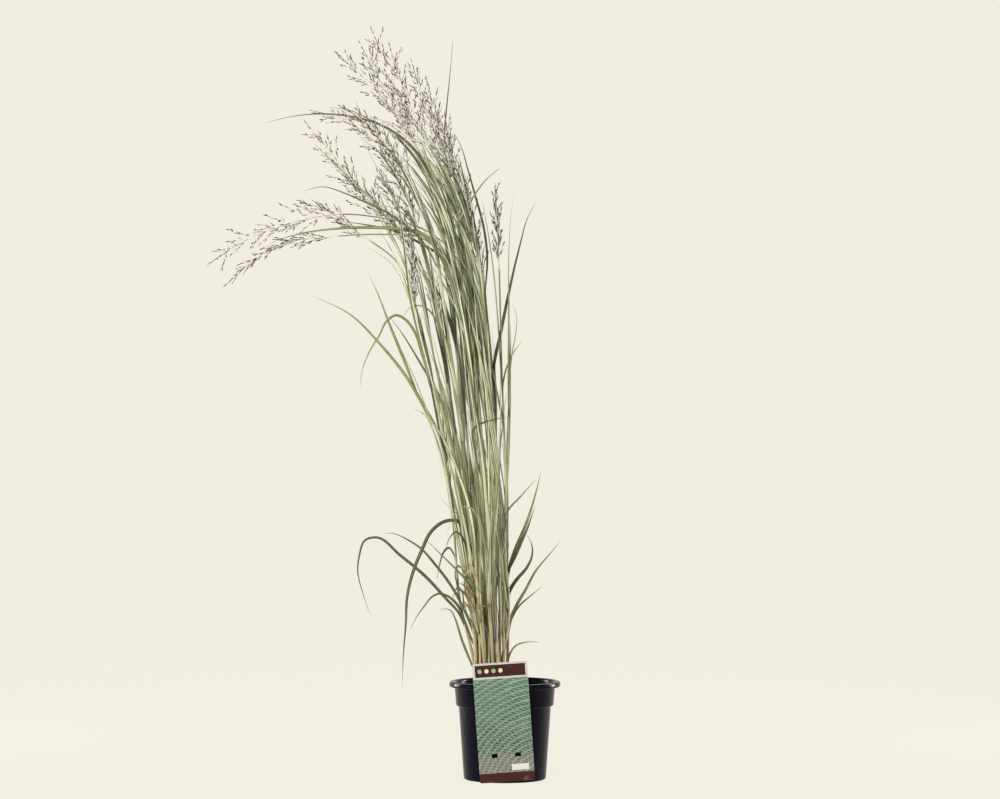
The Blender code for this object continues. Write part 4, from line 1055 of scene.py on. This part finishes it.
def blade_skin(heap, strand, tone, dry):
    """A thin blade, folded along its midrib, that clasps the culm at its foot and tapers to a point."""
    far = along(strand.points)
    fine = np.linspace(0.0, far[-1], max(12, int(far[-1] / BLADE_STEP)))
    line = points_at(fine, far, strand.points)
    ahead = tangents(line)
    outward = line[-1] - line[0]
    outward[2] = 0.0
    level = carried(line, np.cross((0.0, 0.0, 1.0), outward / np.linalg.norm(outward)))
    over = np.cross(ahead, level)
    share = np.linspace(0.0, 1.0, len(line))
    angle = (strand.facing + strand.turn * share)[:, None]
    side = np.cos(angle) * level + np.sin(angle) * over
    above = np.cos(angle) * over - np.sin(angle) * level
    half = blade_width(share, strand.width) / 2
    clasp = np.clip(fine / CLASP, 0.0, 1.0)
    half = np.minimum(half, CLASP_HALF + (half - CLASP_HALF) * clasp)
    half = half * np.clip((1.0 - share) / TIP_SHARE, 0.02, 1.0)
    fold = FOLD + CLASP_FOLD * (1.0 - clasp)
    at = np.array(BLADE_ACROSS)
    top = half[:, None] * np.abs(at) * fold[:, None]
    under = top[:, 1:-1] - BLADE_SHEET * (0.35 + 0.65 * np.minimum(1.0, half / 1.5))[:, None]
    under[:, 2] -= (MIDRIB - BLADE_SHEET) * (1.0 - share)
    wide = np.concatenate([half[:, None] * at, half[:, None] * at[-2:0:-1]], axis=1)
    high = np.concatenate([top, under[:, ::-1]], axis=1)
    shape = np.stack([wide, high - SUNK], axis=-1)
    points, faces = swept(line, side, above, shape)
    around = np.concatenate([at, at[-2:0:-1]]) / 2 + 0.5
    run = np.stack(np.broadcast_arrays(around, fine[:, None] / RUN_UNIT), axis=-1).reshape(-1, 2)
    ends = np.repeat(np.stack([share, np.full(len(share), dry)], axis=1), len(around), axis=0)
    heap.add(points, faces, 1, run=run, tone=tone, mark=ends)


def leaf_of(kind, strand, root, heading, random, fall=None, droop=(0.0, 0.0, 0.0)):
    """A leaf of one kind, with its measures drawn from the ranges of that kind."""
    length = random.uniform(*kind.length)
    parting = random.uniform(*kind.parting)
    if fall is None:
        fall = random.uniform(*kind.fall)
    line = leaf_line(strand.points, root, length, heading, parting, fall, np.array(droop))
    width = random.uniform(*kind.width)
    facing = random.uniform(*kind.facing)
    return blade_strand(strand, root, line, width, facing, random.uniform(*kind.turn))


def flag_leaves(strand, number, random):
    """Narrow leaves that rise close beside the upper culm, between its listed blades."""
    made = []
    for k, height in enumerate(np.linspace(*FLAG_HEIGHTS, FLAGS[number])):
        root = at_height(strand.points, height + random.uniform(-FLAG_WANDER, FLAG_WANDER))
        angle = GOLDEN_ANGLE * k + number
        heading = np.array((0.55 * math.cos(angle) - 0.1, math.sin(angle), 0.0))
        fall = random.uniform(*FLAG_FALL)
        if number in ARCHED and height > ARCHED_ABOVE and k % 3:
            heading[0] = ARCHED_HEADING
            fall = random.uniform(*ARCHED_FALL)
        made.append(leaf_of(FLAG_LEAF, strand, root, heading, random, fall))
    return made


def loose_leaves(strand, random):
    """Thin young leaves that cross each other inside the tuft."""
    made = []
    for _ in range(LOOSE_LEAVES):
        root = at_height(strand.points, random.uniform(*LOOSE_HEIGHTS))
        inwards = float(np.clip((TUFT_MIDDLE - strand.points[root, 0]) / 60.0, -0.5, 0.5))
        heading = np.array((inwards + random.uniform(-0.35, 0.35), random.uniform(-1.0, 1.0), 0.0))
        made.append(leaf_of(LOOSE_LEAF, strand, root, heading, random))
    return made


def broken_leaves(strand, random):
    """Short dry leaves that curl out low in the tuft."""
    made = []
    for _ in range(BROKEN_LEAVES):
        root = at_height(strand.points, random.uniform(*BROKEN_HEIGHTS))
        angle = random.uniform(0, 2 * math.pi)
        heading = np.array((0.6 * math.cos(angle), -abs(math.sin(angle)), 0.0))
        droop = (0.0, 0.0, random.uniform(0.8, 3.0))
        made.append(leaf_of(BROKEN_LEAF, strand, root, heading, random, droop=droop))
    return made


def culm_finish():
    culm = Finish("culm", Roughness=0.5, Specular_IOR_Level=0.22)
    place = culm.place()
    upright = culm.add("SeparateXYZ", {"Vector": place}).outputs["Z"]
    around, far = culm.across_and_along("run")
    tone, _ = culm.across_and_along("tone")
    joint, sheath = culm.across_and_along("mark")
    blotch = culm.noise(place, 38.0, 4.0)
    height = culm.math("ADD", upright, culm.shifted(blotch, 0.16, -0.08))
    straw = culm.mix(tone, (0.34, 0.27, 0.11), (0.22, 0.21, 0.065))
    green = culm.mix(tone, (0.08, 0.11, 0.04), (0.20, 0.23, 0.08))
    ashen = culm.mix(tone, (0.05, 0.055, 0.036), (0.13, 0.125, 0.08))
    body = culm.mix(culm.between(height, 0.20, 0.34), straw, green)
    body = culm.mix(culm.between(height, 0.55, 0.85), body, ashen)
    streaks = culm.noise(culm.vector(culm.times(around, 9.0), culm.times(far, 0.5), tone), 3.0, 4.0, 0.6)
    body = culm.mix(culm.between(streaks, 0.45, 0.6, 0.75), body, (0.58, 0.55, 0.35))
    # Painted shade: dark streaks along the culm stand in for the shade between the stems.
    body = culm.mix(culm.between(streaks, 0.46, 0.36, 0.8), body, (0.045, 0.040, 0.014))
    pale = culm.mix(culm.between(streaks, 0.35, 0.6), (0.12, 0.15, 0.07), (0.46, 0.43, 0.27))
    body = culm.mix(culm.times(sheath, 0.75), body, pale)
    low = culm.mix(blotch, (0.16, 0.105, 0.045), (0.52, 0.43, 0.25))
    body = culm.mix(culm.between(height, 0.235, 0.165), body, low)
    culm.set("Base Color", culm.mix(culm.times(joint, 0.7), body, (0.09, 0.06, 0.035)))
    culm.set("Roughness", culm.shifted(streaks, 0.25, 0.38))
    culm.bump(streaks, 0.0003, 0.5)
    return culm.material


def blade_finish():
    leaf = Finish("leaf", Roughness=0.45, Specular_IOR_Level=0.22)
    across, far = leaf.across_and_along("run")
    tone, hue = leaf.across_and_along("tone")
    share, dry = leaf.across_and_along("mark")
    drift = leaf.noise(leaf.vector(far, tone, hue), 2.2, 3.0)
    wide = leaf.vector(leaf.times(across, 2.6), leaf.times(far, 0.06), leaf.times(tone, 60.0))
    broad = leaf.noise(wide, 1.0, 2.0, 0.5)
    veins = leaf.noise(leaf.vector(leaf.times(across, 34.0), leaf.times(far, 0.16), tone), 1.0, 3.0, 0.6)
    green = leaf.mix(hue, (0.030, 0.052, 0.026), (0.130, 0.165, 0.030))
    light = leaf.mix(hue, (0.085, 0.125, 0.085), (0.22, 0.255, 0.085))
    green = leaf.mix(leaf.between(drift, 0.35, 0.7), green, light)
    green = leaf.mix(leaf.between(veins, 0.44, 0.6, 0.55), green, (0.30, 0.34, 0.18))
    # Painted shade: a share of the blades, the listed ones most, is painted near black as if in shade.
    dark = leaf.math("FRACT", leaf.times(tone, 7.0))
    green = leaf.mix(leaf.between(dark, 0.5, 0.66, 0.78), green, (0.012, 0.018, 0.008))
    cream = leaf.times(leaf.between(broad, 0.48, 0.54), leaf.between(tone, 0.1, 0.35))
    green = leaf.mix(leaf.times(cream, 0.85), green, (0.68, 0.68, 0.47))
    off_middle = leaf.math("ABSOLUTE", leaf.math("SUBTRACT", across, 0.5))
    rib = leaf.between(off_middle, 0.075, 0.02)
    # Painted shade: each blade's margins are darkened as if in shade, which outlines it against its
    # neighbours.
    green = leaf.mix(leaf.between(off_middle, 0.3, 0.48, 0.7), green, (0.020, 0.030, 0.012))
    green = leaf.mix(leaf.times(rib, 0.5), green, (0.36, 0.38, 0.24))
    tip = leaf.times(leaf.between(share, 0.86, 1.0), leaf.between(hue, 0.3, 0.6))
    green = leaf.mix(tip, green, (0.25, 0.17, 0.08))
    golden = leaf.mix(leaf.between(veins, 0.35, 0.65), (0.30, 0.19, 0.07), (0.46, 0.35, 0.18))
    golden = leaf.mix(leaf.between(drift, 0.6, 0.8), golden, (0.13, 0.065, 0.03))
    leaf.set("Base Color", leaf.mix(dry, green, golden))
    leaf.set("Roughness", leaf.shifted(veins, 0.3, 0.34))
    leaf.bump(leaf.math("ADD", veins, rib), 0.0004, 0.6)
    return leaf.material


def shoots(strands, culms):
    """One piece for each shoot: its culm, its own blades, and the leaves that fill the tuft."""
    random = np.random.default_rng(SHOOT_SEED)
    finishes = [culm_finish(), blade_finish()]
    for number, shoot in SHOOTS.items():
        strand = culms[number]
        bare = strand.nodes == number
        placed = sum(blade.shoot == number for blade in BLADES)
        blades = [s for s in strands if s.kind == "blade" and s.node == number]
        heap = Heap()
        line = strand.points[bare]
        roots = [s.root for s in blades if s.root < len(line)]
        culm_rod(heap, line, strand.reach[bare], roots, not shoot.panicle, (random.uniform(), 0.5))
        leaves = [(blade, DRYNESS * random.uniform()) for blade in blades]
        if number in FLAGS:
            leaves += [(leaf, 0.0) for leaf in flag_leaves(strand, number, random)]
        leaves += [(leaf, 0.0) for leaf in loose_leaves(strand, random)]
        low = line[at_height(line, BROKEN_HEIGHTS[1])]
        if BROKEN_PLACE[0] < low[0] < BROKEN_PLACE[1] and low[1] < BROKEN_DEPTH:
            leaves += [(leaf, 1.0) for leaf in broken_leaves(strand, random)]
        for leaf, dry in leaves:
            tone = random.uniform(*PLACED_SHADED_TONE) if leaf in blades[:placed] else random.uniform(*OTHER_TONE)
            blade_skin(heap, leaf, (tone, random.uniform()), dry)
        heap.made(f"shoot_{number:02d}", finishes, "stem", [f"stem_{number:02d}"])


shoots(strands, culms)


# Seed heads
# Each culm ends in a feathery head: a thin axis with fine branches all round it, which fork again and
# carry small pointed spikelets of grey-brown and dull purple. It grows on the end of its culm.

SPIKELET_LENGTH = (5.2, 8.6)
SPIKELET_WIDTH = (1.4, 2.1)
SPIKELET_GAP = (4.4, 6.2)
SPIKELET_SIDES = 5
SPIKELET_RINGS = ((0.26, 0.46), (0.6, 0.40))
MORE_BRANCHES = (12, 15)
MORE_SLOPE = (0.24, 0.015)
MORE_LENGTH = (18.0, 1.5)
MORE_SPAN = (0.04, 0.84)
MORE_STEP = 4.0
CLOSE_HEADS = (13, 14, 15, 16, 18, 20)
CLOSE_GAP = 4.2
CLOSE_BRANCHES = 20
TWIG_GAP = 12.0
TWIG_LENGTH = 11.0
TWIG_SPREAD = 2.4
TWIG_TURN = math.pi * 0.72
# Shares of a branch: where its spikelets begin, and where its twigs begin and end
SEEDS_FROM = 0.22
TWIGS_FROM = 0.16
TWIGS_TO = 0.86
UNEVEN = (0.7, 1.3)
OPEN_LEAN = 0.18
CLOSE_LEAN = 0.12
HEAD_SEED = 400
THREAD = (0.24, 0.10)
THREAD_SIDES = 4


def spot(line, far, ahead, across, at, turn):
    """The place at a distance along a line, the direction there, and the one at an angle to its side."""
    k = int(np.argmin(np.abs(far - at)))
    return points_at(at, far, line), ahead[k], to_side(turn, ahead[k], across[k])


class SeedHead:
    """The threads and spikelets of one head, gathered while it is drawn."""

    def __init__(self, random, gap):
        self.random, self.gap, self.heap, self.seeds = random, gap, Heap(), []

    def thread(self, line, thick, thin):
        radii = np.linspace(thick, thin, len(line))
        mark = np.zeros((len(line), 2))
        rod(self.heap, line, radii, (self.random.uniform(), 0.0), mark, sides=THREAD_SIDES)

    def seed(self, place, aim, size):
        self.seeds.append((place, aim / np.linalg.norm(aim), size))

    def seeds_along(self, line, start, gap, lean):
        """Spikelets to all sides of a line, from a distance along it, each at its own angle."""
        far, ahead = along(line), tangents(line)
        across = carried(line, self.random.normal(size=3))
        at, turn = start, self.random.uniform(0, 6.3)
        while at < far[-1] - 1.0:
            place, forth, out = spot(line, far, ahead, across, at, turn)
            self.seed(place, forth + lean * out, 1.0)
            at += gap * self.random.uniform(*UNEVEN)
            turn += GOLDEN_ANGLE + self.random.normal() * 0.4
        self.seed(line[-1] - ahead[-1] * 4.0, ahead[-1], 0.8)

    def branch(self, line, lean):
        """A fine branch with twigs to both sides and spikelets along its outer part."""
        self.thread(line, *THREAD)
        far, ahead = along(line), tangents(line)
        across = carried(line, self.random.normal(size=3))
        self.seeds_along(line, far[-1] * SEEDS_FROM, self.gap, lean)
        at, turn = far[-1] * TWIGS_FROM, self.random.uniform(0, 6.3)
        apart = TWIG_SPREAD * lean
        while at < far[-1] * TWIGS_TO:
            place, forth, out = spot(line, far, ahead, across, at, turn)
            length = TWIG_LENGTH * (1.15 - 0.6 * at / far[-1]) * self.random.uniform(0.7, 1.15)
            steps = np.linspace(0.0, length, 4)[:, None]
            twig = place + steps * (forth + out * apart) / math.hypot(1.0, apart)
            self.thread(twig, THREAD[1] * 1.2, THREAD[1])
            self.seeds_along(twig, length * 0.35, self.gap * 0.85, lean)
            at += TWIG_GAP * self.random.uniform(*UNEVEN)
            turn += TWIG_TURN

    def finished(self, name, finishes, replaced):
        """All spikelets as small pointed lenses, in one go, and the head as one piece."""
        places, aims, sizes = (np.array(values) for values in zip(*self.seeds))
        count = len(self.seeds)
        across = np.cross(aims, self.random.normal(size=(count, 3)))
        across /= np.linalg.norm(across, axis=1)[:, None]
        over = np.cross(aims, across)
        length = self.random.uniform(*SPIKELET_LENGTH, count) * sizes
        width = self.random.uniform(*SPIKELET_WIDTH, count) * sizes
        angles = 2 * math.pi * np.arange(SPIKELET_SIDES) / SPIKELET_SIDES
        local = [(0.0, 0.0, 0.0)]
        for high, wide in SPIKELET_RINGS:
            local += [(wide * math.cos(a), 0.7 * wide * math.sin(a), high) for a in angles]
        local = np.array(local + [(0.0, 0.0, 1.0)])
        points = (places[:, None] + local[None, :, :1] * (width[:, None] * across)[:, None]
                  + local[None, :, 1:2] * (width[:, None] * over)[:, None]
                  + local[None, :, 2:] * (length[:, None] * aims)[:, None])
        n, one = SPIKELET_SIDES, len(local)
        low = [(1 + k, 1 + (k + 1) % n) for k in range(n)]
        skin = [(0, b, a) for a, b in low] + [(a, b, a + n) for a, b in low]
        skin += [(b, b + n, a + n) for a, b in low] + [(a + n, b + n, one - 1) for a, b in low]
        faces = (np.array(skin)[None] + one * np.arange(count)[:, None, None]).reshape(-1, 3)
        run = np.tile(np.stack([np.linspace(0, 1, one), local[:, 2]], axis=1), (count, 1))
        tone = np.stack([self.random.uniform(0, 1, count), np.ones(count)], axis=1)
        tone = np.repeat(tone, one, axis=0)
        self.heap.add(points.reshape(-1, 3), faces, 0, run=run, tone=tone, mark=(0.0, 0.0))
        self.heap.made(name, finishes, "panicle", replaced)


def head_finish():
    husk = Finish("husk", Roughness=0.6, Specular_IOR_Level=0.3)
    _, far = husk.across_and_along("run")
    tone, seed = husk.across_and_along("tone")
    place = husk.place()
    patch = husk.noise(place, 24.0, 3.0)
    grain = husk.noise(place, 900.0, 3.0)
    thread = husk.mix(patch, (0.36, 0.35, 0.27), (0.60, 0.57, 0.48))
    dull = husk.mix(husk.between(tone, 0.1, 0.55), (0.030, 0.020, 0.024), (0.095, 0.075, 0.075))
    bright = husk.mix(husk.between(tone, 0.56, 0.74), dull, (0.50, 0.46, 0.41))
    body = husk.mix(husk.between(far, 0.55, 1.0), bright, (0.26, 0.21, 0.18))
    body = husk.mix(husk.between(patch, 0.45, 0.75, 0.45), body, (0.10, 0.105, 0.055))
    body = husk.mix(husk.times(grain, 0.25), body, (0.03, 0.02, 0.02))
    husk.set("Base Color", husk.mix(seed, thread, body))
    husk.set("Roughness", husk.shifted(grain, 0.3, 0.45))
    husk.bump(grain, 0.0002, 0.5)
    return husk.material


def seed_heads(strands, culms):
    """One head for each flowering culm: the branches of the CAD solid, and finer ones between them."""
    finishes = [head_finish()]
    for number, shoot in SHOOTS.items():
        if not shoot.panicle:
            continue
        random = np.random.default_rng(HEAD_SEED + number)
        strand = culms[number]
        axis = strand.points[int(np.argmax(strand.nodes > 100)) - 1:]
        far, ahead = along(axis), tangents(axis)
        open_head = shoot.spread > OPEN_SPREAD
        lean = OPEN_LEAN if open_head else CLOSE_LEAN
        head = SeedHead(random, CLOSE_GAP if number in CLOSE_HEADS else SPIKELET_GAP[open_head])
        head.thread(axis, AXIS_RADIUS * 0.95, 0.3)
        head.seeds_along(axis, far[-1] - SEEDED_END, head.gap * 0.6, lean)
        for own in (s for s in strands if s.kind == "branch" and s.node == 100 + number):
            head.branch(own.points, lean)
        across = carried(axis, np.array((0.0, 1.0, 0.0)))
        many = CLOSE_BRANCHES if number in CLOSE_HEADS else MORE_BRANCHES[open_head]
        for k in range(many):
            share = MORE_SPAN[0] + MORE_SPAN[1] * (k + 0.5) / many
            at = int(share * (len(axis) - 1))
            out = to_side(GOLDEN_ANGLE * k + number + 1.2, ahead[at], across[at])
            slope = by_spread(MORE_SLOPE, shoot.spread) * random.uniform(0.7, 1.35)
            length = by_spread(MORE_LENGTH, shoot.spread) * (1.0 - BRANCH_SHRINK * share)
            length *= random.uniform(0.7, 1.1)
            count = max(4, int(length / MORE_STEP))
            head.branch(side_branch(axis[at], ahead[at], out * slope, count, length / count), lean)
        head.finished(f"seed_head_{number:02d}", finishes, [f"panicle_{number:02d}"])


seed_heads(strands, culms)


# Care label
# One sheet of glossy printed card that leans a little to the left before the pot, held by a tongue that
# is folded over the rim. Its print is a plain pattern of bands, rings and discs, with two small slots.

LABEL_WIDTH = 83.0
LABEL_HEIGHT = 180.0
LABEL_SHEET = 0.7
LABEL_TILT = math.radians(3.9)
LABEL_CENTRE = (-2.0, 95.0)
LABEL_SLOTS = ((-17.0, -50.0), (18.5, -50.0))
LABEL_SLOT_SIZE = (9.0, 6.0)
LABEL_CORNER = 2.2
LABEL_GAP = 0.3
UNPRINTED = (0.0, 92.0)
TONGUE_WIDTH = 30.0
TONGUE_INSIDE = 71.8
SHEET_COLUMNS = 18
SHEET_ROWS = 36
# Fans of fine rings in the print: where each is drawn from, how far apart its rings are, and how strong
FANS = (
    (-70.0, -60.0, 6.0, 0.65),
    (62.0, -112.0, 8.0, 0.6),
    (10.0, 150.0, 5.0, 0.4),
    (-34.0, -170.0, 4.0, 0.5),
)
# The bands of the print, each over the one before it: left, right, bottom, top and colour
BANDS = (
    (-50, 50, 66, 95, (0.40, 0.40, 0.37)),
    (-38, 38, 69, 87, (0.038, 0.009, 0.007)),
    (-50, 50, -95, -76, (0.038, 0.009, 0.007)),
    (8, 34, -73, -64, (0.52, 0.52, 0.48)),
)
BAND_EDGE = 0.15
DISCS = 4
DISC_START = (-31.0, 78.0)
DISC_STEP = 10.5
DISC_EDGE = (3.4, 3.1)
DISC_COLOURS = ((0.20, 0.32, 0.22), (0.55, 0.50, 0.36))


def card_finish():
    card = Finish("printed_card", Specular_IOR_Level=0.16, Coat_Weight=0.06, Coat_Roughness=0.1)
    across, up = card.across_and_along("print")

    def distance(at_x, at_y):
        """How far each point of the print lies from this one."""
        x, y = card.math("SUBTRACT", across, at_x), card.math("SUBTRACT", up, at_y)
        return card.math("SQRT", card.math("ADD", card.times(x, x), card.times(y, y)))

    def inside(value, low, high):
        """Where a value lies between two others, with soft edges."""
        return card.times(card.between(value, low - BAND_EDGE, low + BAND_EDGE),
                          card.between(value, high + BAND_EDGE, high - BAND_EDGE))

    fleck = card.noise(card.vector(across, up), 0.35, 3.0)
    drift = card.noise(card.vector(across, up), 0.05, 2.0)
    ground = card.mix(card.between(up, -60.0, 66.0), (0.022, 0.050, 0.034), (0.028, 0.105, 0.055))
    ground = card.mix(card.between(drift, 0.35, 0.7), ground, (0.06, 0.115, 0.085))
    wavy = card.math("ADD", up, card.times(drift, 30.0))
    ground = card.mix(card.between(wavy, -28.0, -40.0), ground, (0.115, 0.105, 0.085))
    for k, (at_x, at_y, gap, strength) in enumerate(FANS):
        rings = card.math("SINE", card.shifted(distance(at_x, at_y), 2 * math.pi / gap, k))
        rings = card.math("ADD", rings, card.shifted(fleck, 1.6, -0.8))
        tint = (0.29, 0.32, 0.26) if k % 2 else (0.14, 0.20, 0.16)
        ground = card.mix(card.between(rings, 0.45, 0.95, strength), ground, tint)
    for left, right, bottom, top, colour in BANDS:
        band = card.times(inside(across, left, right), inside(up, bottom, top))
        ground = card.mix(band, ground, colour)
    for k in range(DISCS):
        disc = card.between(distance(DISC_START[0] + DISC_STEP * k, DISC_START[1]), *DISC_EDGE)
        ground = card.mix(disc, ground, DISC_COLOURS[k % 2])
    wear = card.noise(card.place(), 60.0, 4.0)
    card.set("Base Color", card.mix(card.between(wear, 0.55, 0.8, 0.12), ground, (0.7, 0.68, 0.62)))
    card.set("Roughness", card.shifted(wear, 0.14, 0.2))
    card.bump(card.noise(card.place(), 14.0, 2.0), 0.002, 0.12)
    return card.material


def label():
    """The sheet as a fine grid with its slots left out, then the tongue, bent from the same card."""
    half, tall = LABEL_WIDTH / 2, LABEL_HEIGHT / 2
    slot_wide, slot_high = LABEL_SLOT_SIZE[0] / 2, LABEL_SLOT_SIZE[1] / 2
    slot_x = [x + s * slot_wide for x, _ in LABEL_SLOTS for s in (-1, 1)]
    slot_y = [LABEL_SLOTS[0][1] + s * slot_high for s in (-1, 1)]
    corner_x, corner_y = half - LABEL_CORNER, tall - LABEL_CORNER
    columns = sorted({*np.linspace(-half, half, SHEET_COLUMNS), *slot_x, -corner_x, corner_x})
    rows = sorted({*np.linspace(-tall, tall, SHEET_ROWS), *slot_y, -corner_y, corner_y})
    front, back = -RIM_RADIUS - LABEL_GAP - LABEL_SHEET, -RIM_RADIUS - LABEL_GAP
    cosine, sine = math.cos(LABEL_TILT), math.sin(LABEL_TILT)
    lean = np.array(((cosine, -sine), (sine, cosine)))
    across, up = np.meshgrid(columns, rows)
    flat = np.stack([across, up], axis=-1)
    cut = (1 - 1 / math.sqrt(2)) * LABEL_CORNER
    corner = (np.abs(across) == half) & (np.abs(up) == tall)
    flat[corner] -= np.sign(flat[corner]) * cut
    turned_flat = flat @ lean.T + LABEL_CENTRE
    wide, high = len(columns), len(rows)
    points, prints = [], []
    for depth, printed in ((front, flat), (back, np.broadcast_to(UNPRINTED, flat.shape))):
        level = np.full((high, wide), depth)
        points.append(np.stack([turned_flat[..., 0], level, turned_flat[..., 1]], axis=-1).reshape(-1, 3))
        prints.append(printed.reshape(-1, 2))
    cells = [(i, j) for i in range(high - 1) for j in range(wide - 1)]
    middle_x, middle_y = np.convolve(columns, (0.5, 0.5), "valid"), np.convolve(rows, (0.5, 0.5), "valid")
    filled = {
        (i, j) for i, j in cells
        if all(abs(middle_x[j] - x) >= slot_wide or abs(middle_y[i] - y) >= slot_high
               for x, y in LABEL_SLOTS)
    }
    faces, sheet = [], wide * high
    for i, j in sorted(filled):
        a = i * wide + j
        b, c, d = a + 1, a + wide + 1, a + wide
        faces += [(a, b, c, d), (d + sheet, c + sheet, b + sheet, a + sheet)]
        sides = (((i - 1, j), a, b), ((i + 1, j), c, d), ((i, j - 1), d, a), ((i, j + 1), b, c))
        for beside, p, q in sides:
            if beside not in filled:
                faces.append((q, p, p + sheet, q + sheet))
    top, inner = POT_HEIGHT + LABEL_GAP + LABEL_SHEET, -TONGUE_INSIDE + LABEL_SHEET
    spine = np.array([
        (back - 0.5, top - 11.0), (back - 0.5, top - 1.4), (back - 0.1, top - 0.4), (back + 0.9, top),
        (inner - 1.4, top), (inner - 0.4, top - 0.4), (inner, top - 1.4), (inner, top - 11.0),
        (inner, SOIL_TOP + 1.0),
    ])
    ahead = tangents(spine)
    out = np.stack([ahead[:, 1], -ahead[:, 0]], axis=1) * LABEL_SHEET
    start = 2 * sheet
    strip, strip_print = [], []
    for k, (depth, height) in enumerate(spine):
        for x, off in ((-1, 0), (1, 0), (1, 1), (-1, 1)):
            strip.append((x * TONGUE_WIDTH / 2, depth + off * out[k, 0], height + off * out[k, 1]))
            strip_print.append((x * TONGUE_WIDTH / 2, 90.0))
    for k in range(len(spine) - 1):
        for s in range(4):
            a, b = start + 4 * k + s, start + 4 * k + (s + 1) % 4
            faces.append((a, b, b + 4, a + 4))
    last = start + 4 * (len(spine) - 1)
    faces += [(start + 3, start + 2, start + 1, start), (last, last + 1, last + 2, last + 3)]
    points = np.concatenate([*points, np.array(strip)])
    prints = np.concatenate([*prints, np.array(strip_print)])
    piece("label", points, faces, [card_finish()], ["label"], {"print": prints})


label()
